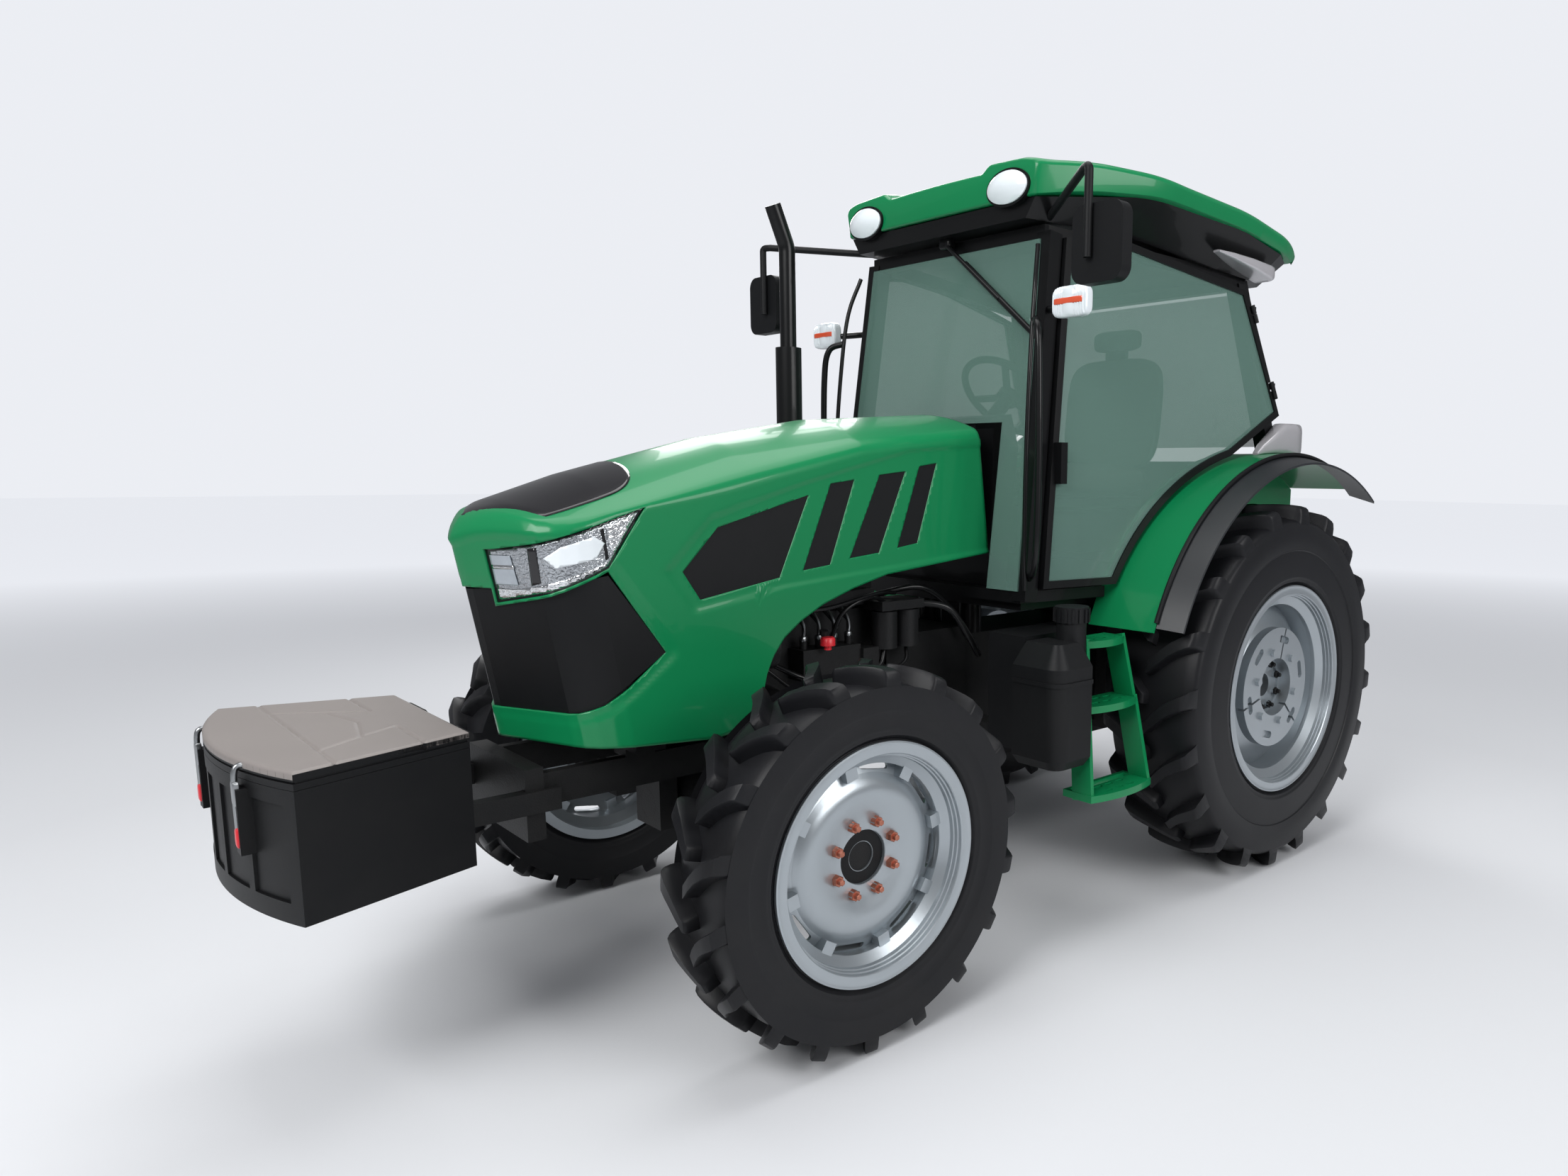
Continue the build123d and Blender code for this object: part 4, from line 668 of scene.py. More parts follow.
def hood_half():
    """The left half of the hood's skin.

    Columns follow the plan from the prow to the rear; rows climb the wall, turn over a quarter circle of
    radius edge, and run along the crown's parabola to the middle."""
    nose = np.concatenate([np.linspace(a, b, n, endpoint=False)
                           for a, b, n in zip(NOSE_PLAN[:-1], NOSE_PLAN[1:], NOSE_COLUMNS)])
    flank_back = np.linspace(FLANK_START, FLANK_END, FLANK_COLUMNS)
    plan_back = np.concatenate((nose[:, 1], flank_back))
    lean = RAKE * np.concatenate((np.ones(len(nose)), np.clip(flank_back / FLANK_START, 0, 1)))
    rear = np.linspace(0, 1, REAR_COLUMNS + 1)[1:]
    x = np.concatenate((nose[:, 0], np.full(FLANK_COLUMNS + REAR_COLUMNS, FLANK_X)))

    def column_back(z):
        """Distance behind the front axle of every column at its height z."""
        front = plan_back - lean * (z[:len(plan_back)] - NOSE_LEVEL)
        end = np.interp(z[len(plan_back):], *zip(*HOOD_REAR))
        return np.concatenate((front, FLANK_END + rear * (end - FLANK_END)))

    top, foot = np.full(len(x), 1.4), np.full(len(x), 0.81)     # first guesses of heights that settle
    for _ in range(12):
        back = column_back(top)
        top = crown_height(x, back)
    for _ in range(2):
        foot = np.interp(column_back(foot), *HOOD_FOOT.T)
    edge = np.interp(back, EDGE_BACK, EDGE_RADIUS)
    rows = []
    for share in np.linspace(0, 1, WALL_ROWS):
        z = foot + (top - edge - foot) * share
        row = np.stack((x, column_back(z), z), axis=1)
        row[:, 0] -= np.minimum(pressing(row[:, 1:]), x)
        rows.append(row)
    start = np.stack((x, back), axis=1)
    way = np.stack((np.zeros(len(x)), np.maximum(back, -0.6 + 0.35 * (back + 0.6))), axis=1) - start
    reach = np.maximum(np.linalg.norm(way, axis=1), 0.02)
    turn_over = [edge * (1 - math.cos(math.radians(angle))) for angle in EDGE_ANGLES]
    run_in = [np.minimum(edge, reach) + (reach - edge) * share
              for share in np.linspace(0, 1, CROWN_ROWS + 1)[1:]]
    for inward in turn_over + run_in:
        flat = (start + way * np.clip(inward / reach, 0, 1)[:, None]).T
        drop = edge * (1 - np.sqrt(1 - (1 - np.clip(inward / edge, 0, 1)) ** 2))
        rows.append(np.stack((*flat, crown_height(*flat) - drop), axis=1))
    return trimmed(np.concatenate(rows), grid_faces(len(rows), len(x), flip=True), OPENINGS)


def wall_patch(outline, depth, inner_x, pitch=0.008):
    """A piece of the hood's wall cut to a side-view outline and sunk by depth.

    A point is (half width at its place, place, height) on a grid of places along the plan and heights."""
    low, high = outline[:, 1].min() - pitch, outline[:, 1].max() + pitch
    heights = np.linspace(low, high, max(3, int((high - low) / pitch)))
    plan_x, plan_back = NOSE_PLAN.T
    run = np.append(0, np.cumsum(np.linalg.norm(np.diff(NOSE_PLAN, axis=0), axis=1)))
    span = run[-1] + max(0.0, outline[:, 0].max() + 0.05 - plan_back[-1])
    steps = np.arange(0, span + 0.1, pitch)
    places = np.where(steps < run[-1], np.interp(steps, run, plan_back), plan_back[-1] + steps - run[-1])
    z, place = np.meshgrid(heights, places, indexing="ij")
    points = np.stack((np.interp(place, plan_back, plan_x), place - RAKE * (z - NOSE_LEVEL), z), axis=-1)
    points, faces = trimmed(points.reshape(-1, 3), grid_faces(*z.shape, flip=True), [(outline, inner_x)],
                            inside=True)
    nose = np.clip(-(points[:, 1] - AXLE_Y + 0.42) * 10, 0, 1)[:, None]
    return points - depth * ((1 - nose) * SINK_FLANK + nose * SINK_NOSE), faces


def crown_patch(half_width, half_length, middle, lift, rings=26, steps=96):
    """A lozenge with round corners on the crown: (half width s c, middle + half length s d), s from 0 to 1.

    c and d are powers of cosine and sine; its height is the crown's less the nose's rounding plus lift."""
    share = np.linspace(0, 1, rings)[:, None]
    turn = circle(steps)
    x = half_width * share * signed_power(np.cos(turn), 2 / PANEL_CORNER)
    back = middle + half_length * share * signed_power(np.sin(turn), 2 / PANEL_CORNER)
    edge = np.interp(np.abs(x), *NOSE_PLAN.T) - RAKE * 0.6
    back = np.maximum(back, edge + PANEL_FRONT)
    depth = np.clip(0.9 * (back - edge) / PANEL_ROUND, 0, 1)
    z = crown_height(x, back) - PANEL_ROUND * (1 - np.sqrt(1 - (1 - depth) ** 2)) + lift
    return behind(np.stack((x, back, z), axis=-1)), grid_faces(rings, steps, wrap_columns=True)


# outline in side view, depth under the wall, finish
HEADLIGHT_PARTS = {
    "bowl": (HEADLIGHT, 0.0085, "gloss"),
    "glitter": (((-0.9, 1.334), (-0.681, 1.334), (-0.358, 1.438), (-0.45, 1.298), (-0.658, 1.206),
                 (-0.9, 1.203)), 0.007, "lamp_bowl"),
    "inner_glass": (((-0.9, 1.322), (-0.652, 1.325), (-0.636, 1.248), (-0.9, 1.24)), 0.0045, "smoked"),
    "inner_bar": (((-0.9, 1.296), (-0.646, 1.3), (-0.644, 1.29), (-0.9, 1.286)), 0.0035, "reflector"),
    "main_lens": (((-0.604, 1.322), (-0.57, 1.35), (-0.488, 1.376), (-0.458, 1.358), (-0.484, 1.318),
                   (-0.58, 1.296)), 0.0035, "lens"),
    "side_lens": (((-0.452, 1.398), (-0.366, 1.434), (-0.432, 1.332), (-0.446, 1.35)), 0.005, "reflector"),
    "low_strip": (((-0.9, 1.23), (-0.64, 1.236), (-0.557, 1.268), (-0.452, 1.308), (-0.458, 1.297),
                   (-0.56, 1.25), (-0.655, 1.209), (-0.9, 1.207)), 0.0045, "reflector"),
    "divider": (((-0.63, 1.345), (-0.618, 1.348), (-0.606, 1.256), (-0.618, 1.248)), 0.005, "gloss"),
    "second_divider": (((-0.468, 1.394), (-0.46, 1.397), (-0.448, 1.318), (-0.456, 1.312)), 0.005, "gloss"),
}


def make_headlights():
    """Bowls, lenses and reflector strips of both headlights, each a patch of the hood's wall."""
    for part, (outline, depth, finish_name) in HEADLIGHT_PARTS.items():
        inner_x = HEADLIGHT_INNER_X + (0.012 if part != "bowl" else -0.004)
        lamp = both_sides("headlight_" + part, [wall_patch(np.array(outline), depth, inner_x)], finish_name,
                          "hood", sharp=50, closed=False)
        thicken(lamp, 0.0008)
        if part == "bowl":
            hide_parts("headlights")


def make_hood_panel():
    """The dark lozenge on the crown behind the nose."""
    panel = Soup().add(*crown_patch(0.256, 0.205, -0.497, 0.0025)).piece("hood_panel", "gloss", "hood",
                                                                         sharp=60, closed=False)
    thicken(panel, 0.0015)


def make_hood():
    """The hood's skin, thickened inwards."""
    hood = both_sides("hood_skin", [hood_half()], "green", "hood", sharp=50, closed=False)
    thicken(hood, 0.012)
    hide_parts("hood")


# ------------------------------------------------------------------ roof
# back, half width, lower edge, upper edge at the side, top in the middle
ROOF_LINES = np.array((
    (0.985, 0.5, 2.448, 2.545, 2.56), (1.15, 0.6, 2.47, 2.55, 2.588), (1.42, 0.7, 2.48, 2.544, 2.604),
    (1.9, 0.742, 2.44, 2.502, 2.578), (2.2, 0.745, 2.392, 2.45, 2.515), (2.325, 0.69, 2.382, 2.42, 2.455)))
ROOF_CORNER, ROOF_SPACING, SMOOTHING = 0.02, 0.005, 16      # samples averaged to each side
BROW_RISE = 0.026
# back and loss of size at the rounded ends
ROOF_ENDS = np.array(((0.985, 0.01), (0.987, 0.005), (0.992, 0.0015), (1.0, 0), (2.3, 0), (2.312, 0.003),
                      (2.32, 0.009), (2.325, 0.018)))


def brow(x, back):
    """Swelling of the roof over the front lamps: steep on the inner side, dying out rearwards."""
    across = smooth_step((np.abs(x) - 0.235) / 0.05) * (1 - 0.5 * smooth_step((np.abs(x) - 0.43) / 0.1))
    return BROW_RISE * across * (1 - smooth_step((back - 1.12) / 0.45))


def roof_surface():
    """Sections across the roof joined one to the next: a flat underside, side walls, and a parabola with the
    brows on it. Each line of ROOF_LINES is averaged over 0.16 m so that the sections change smoothly."""
    front, rear = ROOF_LINES[0, 0], ROOF_LINES[-1, 0]
    fine = np.linspace(front, rear, round((rear - front) / ROOF_SPACING) + 1)
    lines = []
    for column in ROOF_LINES.T[1:]:
        line = np.interp(fine, ROOF_LINES[:, 0], column)
        padded = np.concatenate((2 * line[0] - line[SMOOTHING:0:-1], line,
                                 2 * line[-1] - line[-2:-2 - SMOOTHING:-1]))
        lines.append(np.convolve(padded, np.ones(2 * SMOOTHING + 1) / (2 * SMOOTHING + 1), "valid"))
    share = np.sin(np.linspace(-1, 1, 121) * math.pi / 2)
    rings = []
    for back in (*ROOF_ENDS[:4, 0], *np.linspace(1.02, 2.3, 90), *ROOF_ENDS[5:, 0]):
        less = np.interp(back, *ROOF_ENDS.T)
        half, low, edge, crown = (np.interp(back, fine, line) for line in lines)
        half, low = half - less, low + less
        x = share * half
        gap = np.clip((half - np.abs(x)) / ROOF_CORNER, 0, 1)
        top = (edge + (crown - edge) * (1 - share ** 2) + brow(x, back) - less
               - ROOF_CORNER * (1 - np.sqrt(1 - (1 - gap) ** 2)))
        under = [(half - 0.015, low + 0.004), (half - 0.022, low), (0, low), (-half + 0.022, low),
                 (-half + 0.015, low + 0.004)]
        section = np.concatenate((np.stack((x, top), axis=1), under))
        rings.append(np.insert(section, 1, back, axis=1))
    return capped(behind(rings))


def make_roof():
    roof = Soup().add(*roof_surface()).piece("roof_shell", "green", "chassis", sharp=38)
    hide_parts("roof")


# ------------------------------------------------------------------ lamps
ROOF_LAMP = (0.375, 2.488)              # x, height
DOME_SHARES = (0.97, 0.9, 0.78, 0.62, 0.44, 0.25, 0.02)
MARKER = (0.652, 0.9975, 2.093)
MARKER_ARM = ((0.486, 1.074, 2.093), (0.54, 1.045, 2.09), (0.6, 1.01, 2.088))
# back, lower and upper height and half width
FENDER_POD = ((2.085, 1.6235, 1.634, 0.012), (2.12, 1.627, 1.664, 0.02), (2.19, 1.6305, 1.706, 0.03),
              (2.262, 1.629, 1.752, 0.038), (2.33, 1.621, 1.753, 0.04), (2.374, 1.616, 1.752, 0.04),
              (2.38, 1.622, 1.746, 0.034))
REAR_POD = ((1.785, 2.356, 2.364, 0.014), (1.86, 2.34, 2.363, 0.03), (1.98, 2.316, 2.358, 0.044),
            (2.1, 2.292, 2.35, 0.05), (2.12, 2.289, 2.347, 0.049), (2.128, 2.296, 2.34, 0.042))
POD_ROUNDNESS = 0.45


def ring(x, back, z, half_x, half_z, steps, power=1.0):
    """An oval, or with a lower power a rounded box, upright across the tractor."""
    turn = circle(steps)
    return np.stack((x + half_x * signed_power(np.cos(turn), power), np.full(steps, back),
                     z + half_z * signed_power(np.sin(turn), power)), axis=1)


def oval_dome(x, z, half_x, half_z, front, rear, bulge):
    """A lamp seen as an oval: a barrel from rear to front, then a dome that bulges by 1 - share squared."""
    barrel = [(1.0, rear), (1.0, front)]
    dome = [(share, front - bulge * (1 - share ** 2)) for share in DOME_SHARES]
    return loft([ring(x, back, z, half_x * share, half_z * share, 56) for share, back in barrel + dome])


def pod(stations, x):
    """A wedge of rounded sections."""
    return loft([ring(x, back, (low + high) / 2, half, (high - low) / 2, 40, POD_ROUNDNESS)
                 for back, low, high, half in stations])


def make_lamps():
    """Oval lamps in the roof, marker lamps on arms, and the wedge lamps of roof and fenders."""
    lens = both_sides("roof_front_lamps", [oval_dome(*ROOF_LAMP, 0.09, 0.053, 0.972, 1.03, 0.022)], "lens",
                      "chassis", sharp=50)
    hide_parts("cab_lamps")
    both_sides("roof_lamp_rings", [oval_dome(*ROOF_LAMP, 0.0985, 0.0615, 0.977, 1.03, 0.0)], "black",
               "chassis")
    marker = both_sides("marker_lamps", [rounded_box(MARKER, (0.073, 0.0225, 0.05), 0.42, flutes=0.1,
                                                     columns=160)], "lens", "chassis", sharp=60)
    both_sides("marker_stripes", [rounded_box((0.652, 0.996, 2.095), (0.064, 0.024, 0.011), 0.3)], "amber",
               "chassis", sharp=60)
    both_sides("marker_arms", [tube(MARKER_ARM, 0.012)], "black", "chassis")
    both_sides("wedge_lamps", [pod(FENDER_POD, 0.695), pod(REAR_POD, 0.672)], "silver", "chassis", sharp=50)


# ------------------------------------------------------------------ small things on the cab
WIPER_PIVOT, WIPER_TIP = np.array((0.006, 1.044, 2.366)), np.array((0.487, 1.002, 2.001))
BLADE_GAP = np.array((0, 0.006, 0))
GRAB_RAIL = ((0.512, 0.975, 2.05), (0.56, 0.935, 2.02), (0.578, 0.925, 1.9), (0.585, 0.925, 1.6),
             (0.582, 0.925, 1.32), (0.56, 0.935, 1.22), (0.52, 0.96, 1.19))
POST_HOSE = ((0.47, 1.03, 2.3), (0.5, 0.985, 2.15), (0.512, 0.955, 1.9), (0.52, 0.935, 1.6),
             (0.528, 0.925, 1.3), (0.52, 0.94, 1.15))
FENDER_X, FENDER_BACK, FENDER_Z, FENDER_RADIUS = 0.8, 2.2, 0.661, 0.9645
BEAD_FRONT, BEAD_REAR, BEAD_FOOT = 1.3, 2.688, 1.02


def make_cab_trim():
    """Wiper, grab rails, hoses by the posts and the fenders' edge beads."""
    run = WIPER_TIP - WIPER_PIVOT
    wiper = Soup().add(*tube((WIPER_PIVOT, WIPER_PIVOT + 0.62 * run), 0.008))
    wiper.add(*tube((WIPER_PIVOT + 0.22 * run + BLADE_GAP, WIPER_TIP + BLADE_GAP), 0.011))
    wiper.add(*rounded_box((0.0, 1.055, 2.372), (0.03, 0.02, 0.022), 0.5))
    wiper.piece("wiper", "black", "chassis")
    both_sides("grab_rails", [tube(GRAB_RAIL, 0.012)], "black", "chassis")
    both_sides("pillar_hoses", [tube(POST_HOSE, 0.008)], "black", "chassis")
    turn = np.radians(np.linspace(-58, 118, 60))
    edge = np.stack((np.full_like(turn, FENDER_X), FENDER_BACK - FENDER_RADIUS * np.sin(turn),
                     FENDER_Z + FENDER_RADIUS * np.cos(turn)), axis=1)
    edge = edge[(edge[:, 1] > BEAD_FRONT) & (edge[:, 1] < BEAD_REAR) & (edge[:, 2] > BEAD_FOOT)]
    bead = both_sides("fender_beads", [tube(edge, 0.0085, sides=8, steps=2)], "plastic", "chassis")


# ------------------------------------------------------------------ engine lines
# radius and way of each line between the engine's parts
ENGINE_LINES = (
    (0.009, ((0.2, 0.13, 0.95), (0.255, 0.22, 0.9), (0.262, 0.38, 0.865), (0.245, 0.52, 0.9),
             (0.232, 0.56, 0.965))),
    (0.008, ((0.235, 0.56, 1.115), (0.262, 0.47, 1.14), (0.25, 0.37, 1.095), (0.225, 0.33, 0.985))),
    (0.012, ((0.245, 0.69, 1.105), (0.3, 0.79, 1.08), (0.318, 0.87, 0.98), (0.3, 0.94, 0.9))),
    (0.01, ((0.15, 0.58, 1.13), (0.215, 0.74, 1.15), (0.225, 0.88, 1.06), (0.215, 0.96, 0.96))),
    (0.007, ((0.215, 0.05, 1.07), (0.262, 0.13, 1.115), (0.272, 0.3, 1.12), (0.262, 0.5, 1.15),
             (0.215, 0.62, 1.14))),
    (0.007, ((0.232, 0.655, 0.965), (0.262, 0.62, 0.905), (0.27, 0.48, 0.88), (0.24, 0.42, 0.9))),
    (0.006, ((0.195, 0.45, 0.84), (0.268, 0.36, 0.82), (0.275, 0.2, 0.85), (0.24, 0.06, 0.96),
             (0.225, 0.0, 0.985))),
)
INJECTORS = (0.25, 0.31, 0.37, 0.43)    # back
OIL_CAP_AT, OIL_CAP_SIDES = (0.262, 0.3), 32      # x, back
OIL_CAP = ((0.985, 0.012), (0.998, 0.012), (0.999, 0.024), (1.02, 0.024), (1.026, 0.019), (1.027, 0.002))


def make_engine_lines():
    """Fuel, water and oil lines and wires that run from one part of the engine to the next, and a red cap."""
    lines = Soup()
    for radius, way in ENGINE_LINES:
        lines.add(*tube(way, radius, sides=10))
    lines.piece("engine_lines", "black", "chassis")
    bright = Soup()
    for back in INJECTORS:
        bright.add(*tube(((0.2, back, 1.01), (0.204, back, 1.06), (0.17, back - 0.01, 1.11),
                          (0.126, back - 0.025, 1.135)), 0.0042, sides=8))
        bright.add(*rounded_box((0.2, back, 1.016), (0.012, 0.012, 0.012), 0.6, rows=8, columns=12))
    bright.piece("injection_lines", "steel", "chassis")
    x, back = OIL_CAP_AT
    turn = circle(OIL_CAP_SIDES)
    rings = [np.stack((x + radius * np.cos(turn), back + radius * np.sin(turn), np.full_like(turn, z)),
                      axis=1)
             for z, radius in OIL_CAP]
    Soup().add(*loft(rings)).piece("oil_cap", "red", "chassis")


# ------------------------------------------------------------------ seat
SEAT_BASE = (((0, 1.85, 1.305), (0.15, 0.17, 0.09), 0.25), ((0, 1.83, 1.425), (0.205, 0.21, 0.025), 0.25),
             ((0, 2.076, 2.06), (0.055, 0.014, 0.045), 0.3))
PADS = {
    "seat_cushion": dict(centre=(0, 1.822, 1.519), half=(0.246, 0.221, 0.069), seams=2, squeeze=0.25),
    "seat_back": dict(centre=(0, 2.056, 1.8), half=(0.25, 0.043, 0.236), lean=0.1, seams=3, squeeze=0.25),
    "seat_headrest": dict(centre=(0, 2.078, 2.114), half=(0.122, 0.027, 0.044), squeeze=0.3),
}
SEAM_DEPTH, SEAM_WIDTH = 0.16, 0.045    # shares of the pad's half sizes


def cushion(centre, half, lean=0.0, power=0.45, seams=0, squeeze=0.0):
    """A stuffed form: a soft-edged box, fuller in the middle, leaned by an angle, with sewn channels.

    The thickness is the box's times 1 - squeeze (square of the distance from the middle) / 2, less a narrow
    dip at each seam."""
    verts, faces = rounded_box((0, 0, 0), (1, 1, 1), power, rows=60, columns=88)
    unit = verts.reshape(-1, 3) - (0, AXLE_Y, 0)
    thin = int(np.argmin(half))
    wide, long_ = (unit[:, axis] for axis in range(3) if axis != thin)
    swell = 1 - squeeze * (wide ** 2 + long_ ** 2) / 2
    for seam in range(1, seams + 1):
        swell -= SEAM_DEPTH * np.exp(-((long_ + 1 - 2 * seam / (seams + 1)) / SEAM_WIDTH) ** 2)
    unit[:, thin] *= swell
    x, y, z = (unit * half).T
    leaned = (x, y * math.cos(lean) + z * math.sin(lean), z * math.cos(lean) - y * math.sin(lean))
    return behind(np.stack(leaned, axis=1) + centre), faces


def make_seat():
    """Pedestal, and the three stuffed pads of the seat."""
    base = Soup()
    for centre, half, power in SEAT_BASE:
        base.add(*rounded_box(centre, half, power))
    stand = base.piece("seat_base", "plastic", "chassis")
    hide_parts("seat")
    for name, shape in PADS.items():
        pad = Soup().add(*cushion(**shape)).piece(name, "seat", "chassis", sharp=70)


# ------------------------------------------------------------------ tool box
LID_TOP, LID_LIFT, LID_SKIRT = 0.905, 0.0055, 0.012
LID_REAR, LID_FRONT, LID_BOW = -0.812, -1.298, 1.0541       # back of its ends, radius of the front
LID_HALF, LID_GROWTH = 0.285, 0.125 / 0.403     # half width at the rear, and its growth per metre forwards
# start and end (x, back)
LID_GROOVES = (((-0.6, -1.128), (0.6, -1.128)), ((-0.6, -0.925), (-0.11, -0.925)),
               ((0.11, -0.925), (0.6, -0.925)), ((-0.11, -0.925), (-0.17, -1.02)),
               ((0.11, -0.925), (0.17, -1.02)), ((-0.17, -1.02), (0.0, -0.985)),
               ((0.17, -1.02), (0.0, -0.985)), ((-0.17, -1.02), (-0.25, -1.128)),
               ((0.17, -1.02), (0.25, -1.128)))
GROOVE_DEPTH, GROOVE_WIDTH = 0.005, 0.004
LATCH_STRAP = ((0.225, -1.262, 0.9), (0.225, -1.286, 0.892), (0.225, -1.2895, 0.83),
               (0.226, -1.2895, 0.755))


def make_lid_panel():
    """The grey top of the tool box lid.

    A point is (u half(back), back) with half growing in a line towards the bowed front; its height is the
    lid's less a narrow dip at each groove, and the outer rows turn down over the lid's edge."""
    rows, columns = 141, 181
    u = np.sin(np.linspace(-1, 1, columns) * math.pi / 2)
    v = np.linspace(0, 1, rows)[:, None]
    back = LID_REAR + (LID_FRONT + 0.03 - LID_REAR) * v * np.ones(columns)
    for _ in range(4):
        x = u * (LID_HALF + LID_GROWTH * (LID_REAR - back))
        back = LID_REAR + (LID_FRONT + LID_BOW - np.sqrt(LID_BOW ** 2 - x ** 2) - LID_REAR) * v
    points = np.stack((x, back), axis=-1).reshape(-1, 2)
    gap = np.min([line_gap(points, start, end - start) for start, end in np.array(LID_GROOVES)], axis=0)
    dip = GROOVE_DEPTH * np.exp(-(gap / GROOVE_WIDTH) ** 2)
    rim = np.minimum(np.minimum(v, 1 - v) * 0.45, (1 - np.abs(u)) * 0.36).reshape(-1)
    z = LID_TOP + LID_LIFT - dip - 0.005 * np.clip(1 - rim / 0.01, 0, 1) ** 2
    top = np.column_stack((points, z))
    last = rows * columns
    order = np.concatenate((np.arange(columns), np.arange(2 * columns - 1, last, columns),
                            np.arange(last - 2, last - columns - 1, -1),
                            np.arange(last - 2 * columns, 0, -columns)))
    skirt = top[order] - (0, 0, LID_SKIRT)
    below = last + np.arange(len(order))
    walls = np.stack((order, below, np.roll(below, -1), np.roll(order, -1)), axis=1)
    faces = [*grid_faces(rows, columns), *walls, tuple(below)]
    panel = Soup().add(behind(np.concatenate((top, skirt))), faces).piece("lid_panel", "lid", "toolbox_lid",
                                                                          sharp=60)
    NODES["toolbox_lid"].data.materials[0] = FINISH["plastic"]


def make_latches():
    """Steel straps with red tips on the front latches of the tool box."""
    buckle = rounded_box((0.225, -1.2885, 0.838), (0.014, 0.007, 0.028), 0.3)
    both_sides("latch_straps", [tube(LATCH_STRAP, 0.0065), buckle], "steel", "chassis")
    both_sides("latch_tips", [rounded_box((0.227, -1.2885, 0.738), (0.012, 0.0085, 0.024), 0.5)], "red",
               "chassis")


# ------------------------------------------------------------------ stage
CAMERA_AT = (2.93554, -1.70178, 1.55189)        # x, back, height
# columns: the camera's right, up and backward ways
CAMERA_TURN = np.transpose(((0.69315, 0.72074, 0.00815), (-0.11175, 0.09629, 0.98906),
                            (0.71207, -0.68648, 0.14729)))
FRAME_WIDTH, FRAME_HEIGHT = 2212, 1659
FOCAL, CENTRE_X, CENTRE_Y = 1489.96, 1351.78, 885.92        # in units of the frame
SENSOR = 36.0                                   # mm
# name, place, target, size, watts
LAMPS = (
    ("key", (1.5, -5.0, 5.0), (0, 0.5, 1.0), (4.0, 3.0), 330),
    ("side", (6.5, 1.5, 3.6), (0, 1.2, 1.0), (4.0, 3.0), 220),
    ("rim", (-4.5, 3.5, 4.5), (0, 1.0, 1.2), (3.0, 3.0), 160),
    ("top", (0.0, 0.8, 6.5), (0, 0.8, 0.0), (5.0, 5.0), 210),
)
SKY = (0.93, 0.95, 1.0, 1.0)
# strength of the world for light, and what is added where it is seen and where it is mirrored
SKY_LIGHT, SKY_SEEN, SKY_MIRRORED = 0.38, 0.52, -0.14
FLOOR_SIZE = 60.0
FAR_SLOPE, FAR_START, FAR_GLOW = 0.085, -0.32, 0.62


def make_camera():
    data = bpy.data.cameras.new("camera")
    data.sensor_width = SENSOR
    data.lens = FOCAL / FRAME_WIDTH * SENSOR
    data.shift_x = (FRAME_WIDTH / 2 - CENTRE_X) / FRAME_WIDTH
    data.shift_y = (CENTRE_Y - FRAME_HEIGHT / 2) / FRAME_WIDTH
    camera = bpy.data.objects.new("camera", data)
    matrix = np.eye(4)
    matrix[:3, :3] = CAMERA_TURN
    matrix[:3, 3] = behind(CAMERA_AT)
    camera.matrix_world = Matrix(matrix)
    bpy.context.scene.collection.objects.link(camera)
    bpy.context.scene.camera = camera


def make_lights():
    for name, spot, target, size, watts in LAMPS:
        data = bpy.data.lights.new(name, "AREA")
        data.shape = "RECTANGLE"
        data.size, data.size_y = size
        data.energy = watts
        lamp = bpy.data.objects.new(name, data)
        start, aim = Vector(behind(spot)), Vector(behind(target))
        lamp.location = start
        lamp.rotation_euler = (aim - start).to_track_quat("-Z", "Y").to_euler()
        bpy.context.scene.collection.objects.link(lamp)
    world = bpy.data.worlds.new("studio")
    bpy.context.scene.world = world
    world.use_nodes = True
    tree = world.node_tree
    background = tree.nodes["Background"]
    path = tree.nodes.new("ShaderNodeLightPath")
    seen = maths(tree, "MAXIMUM", path.outputs["Is Camera Ray"], path.outputs["Is Transmission Ray"])
    strength = maths(tree, "MULTIPLY_ADD", seen, SKY_SEEN, SKY_LIGHT)
    strength = maths(tree, "MULTIPLY_ADD", path.outputs["Is Glossy Ray"], SKY_MIRRORED, strength)
    tree.links.new(strength, background.inputs["Strength"])
    background.inputs["Color"].default_value = SKY


def make_floor():
    """A pale floor that brightens with distance, for the camera alone, until it meets the world."""
    mesh = bpy.data.meshes.new("floor")
    corners = [(FLOOR_SIZE * x, FLOOR_SIZE * y, 0) for x, y in ((-1, -1), (1, -1), (1, 1), (-1, 1))]
    mesh.from_pydata(corners, [], [(0, 1, 2, 3)])
    material = finish("floor", (0.62, 0.63, 0.65, 1.0), 0.8, mottle=(0.5, 0.02), grain=(40.0, 0.02))
    tree = material.node_tree
    shader = tree.nodes["Principled BSDF"]
    reach = tree.nodes.new("ShaderNodeVectorMath")
    reach.operation = "LENGTH"
    tree.links.new(tree.nodes["Texture Coordinate"].outputs["Object"], reach.inputs[0])
    far = maths(tree, "MULTIPLY_ADD", reach.outputs["Value"], FAR_SLOPE, FAR_START, clamp=True)
    path = tree.nodes.new("ShaderNodeLightPath")
    glow = maths(tree, "MULTIPLY", maths(tree, "MULTIPLY", far, path.outputs["Is Camera Ray"]), FAR_GLOW)
    tree.links.new(glow, shader.inputs["Emission Strength"])
    shader.inputs["Emission Color"].default_value = SKY
    mesh.materials.append(material)
    floor = bpy.data.objects.new("floor", mesh)
    bpy.context.scene.collection.objects.link(floor)


# ------------------------------------------------------------------ settings, operators, panel
class TractorPaint(bpy.types.PropertyGroup):
    """Colours a user would change."""
    green: bpy.props.FloatVectorProperty(
        name="Body green", description="Colour of the hood, fenders, roof and steps", subtype="COLOR",
        size=3, min=0.0, max=1.0, default=(0.003, 0.185, 0.062))


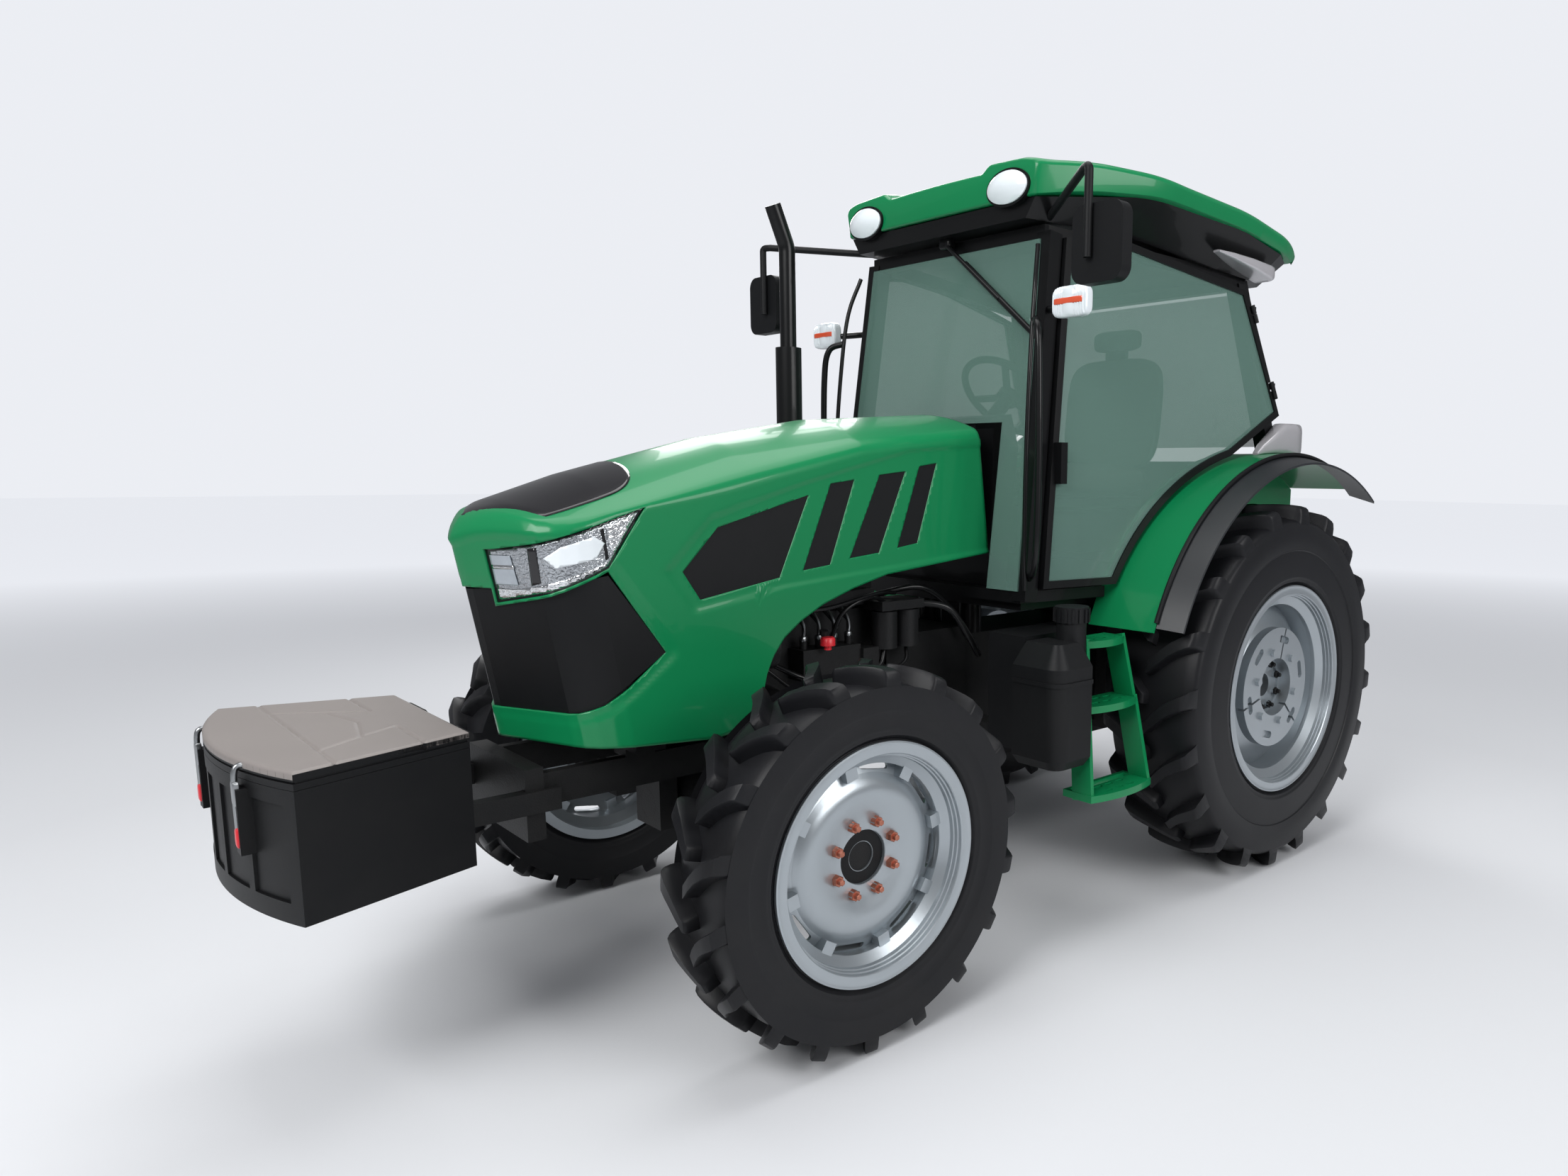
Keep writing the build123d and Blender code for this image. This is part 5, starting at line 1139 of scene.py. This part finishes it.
class TRACTOR_OT_finishes(bpy.types.Operator):
    """Makes the finishes and gives each CAD node its own"""
    bl_idname = "tractor.finishes"
    bl_label = "Finishes"

    def execute(self, context):
        make_finishes()
        dress_nodes()
        return {"FINISHED"}


class TRACTOR_OT_tyres(bpy.types.Operator):
    """Makes the four lugged tyres"""
    bl_idname = "tractor.tyres"
    bl_label = "Tyres"

    def execute(self, context):
        make_tyres()
        return {"FINISHED"}


class TRACTOR_OT_wheel_nuts(bpy.types.Operator):
    """Makes the nuts of the four wheels"""
    bl_idname = "tractor.wheel_nuts"
    bl_label = "Wheel Nuts"

    def execute(self, context):
        make_wheel_nuts()
        make_rim_rings()
        make_front_faces()
        return {"FINISHED"}


class TRACTOR_OT_hood(bpy.types.Operator):
    """Makes the hood's skin, its panel and the headlights"""
    bl_idname = "tractor.hood"
    bl_label = "Hood"

    def execute(self, context):
        make_hood()
        make_hood_panel()
        make_headlights()
        return {"FINISHED"}


class TRACTOR_OT_roof(bpy.types.Operator):
    """Makes the roof and its brows"""
    bl_idname = "tractor.roof"
    bl_label = "Roof"

    def execute(self, context):
        make_roof()
        return {"FINISHED"}


class TRACTOR_OT_lamps(bpy.types.Operator):
    """Makes the lamps of the cab, roof and fenders"""
    bl_idname = "tractor.lamps"
    bl_label = "Lamps"

    def execute(self, context):
        make_lamps()
        return {"FINISHED"}


class TRACTOR_OT_cab_trim(bpy.types.Operator):
    """Makes the wiper, grab rails, pillar hoses and fender beads"""
    bl_idname = "tractor.cab_trim"
    bl_label = "Cab Trim"

    def execute(self, context):
        make_cab_trim()
        return {"FINISHED"}


class TRACTOR_OT_engine_lines(bpy.types.Operator):
    """Makes the lines between the parts of the engine"""
    bl_idname = "tractor.engine_lines"
    bl_label = "Engine Lines"

    def execute(self, context):
        make_engine_lines()
        return {"FINISHED"}


class TRACTOR_OT_seat(bpy.types.Operator):
    """Makes the seat and its pads"""
    bl_idname = "tractor.seat"
    bl_label = "Seat"

    def execute(self, context):
        make_seat()
        return {"FINISHED"}


class TRACTOR_OT_latches(bpy.types.Operator):
    """Makes the tool box's lid panel and latches"""
    bl_idname = "tractor.latches"
    bl_label = "Tool Box Latches"

    def execute(self, context):
        make_lid_panel()
        make_latches()
        return {"FINISHED"}


class TRACTOR_OT_stage(bpy.types.Operator):
    """Makes the floor, the lights and the camera"""
    bl_idname = "tractor.stage"
    bl_label = "Stage"

    def execute(self, context):
        make_floor()
        make_lights()
        make_camera()
        context.scene.view_settings.view_transform = "Standard"
        return {"FINISHED"}


OPERATORS = (TRACTOR_OT_finishes, TRACTOR_OT_tyres, TRACTOR_OT_wheel_nuts, TRACTOR_OT_hood,
             TRACTOR_OT_roof, TRACTOR_OT_lamps, TRACTOR_OT_cab_trim, TRACTOR_OT_engine_lines, TRACTOR_OT_seat,
             TRACTOR_OT_latches, TRACTOR_OT_stage)


class TRACTOR_PT_panel(bpy.types.Panel):
    """Lists the tractor's operators"""
    bl_label = "Tractor"
    bl_idname = "TRACTOR_PT_panel"
    bl_space_type = "VIEW_3D"
    bl_region_type = "UI"
    bl_category = "Tractor"

    def draw(self, context):
        self.layout.prop(context.scene.tractor_paint, "green")
        for operator in OPERATORS:
            self.layout.operator(operator.bl_idname)


CLASSES = (TractorPaint, *OPERATORS, TRACTOR_PT_panel)


def register():
    for cls in CLASSES:
        bpy.utils.register_class(cls)
    bpy.types.Scene.tractor_paint = bpy.props.PointerProperty(type=TractorPaint)


def unregister():
    del bpy.types.Scene.tractor_paint
    for cls in reversed(CLASSES):
        bpy.utils.unregister_class(cls)


def main():
    register()
    for operator in OPERATORS:
        space, name = operator.bl_idname.split(".")
        getattr(getattr(bpy.ops, space), name)()


if __name__ == "__main__":
    main()
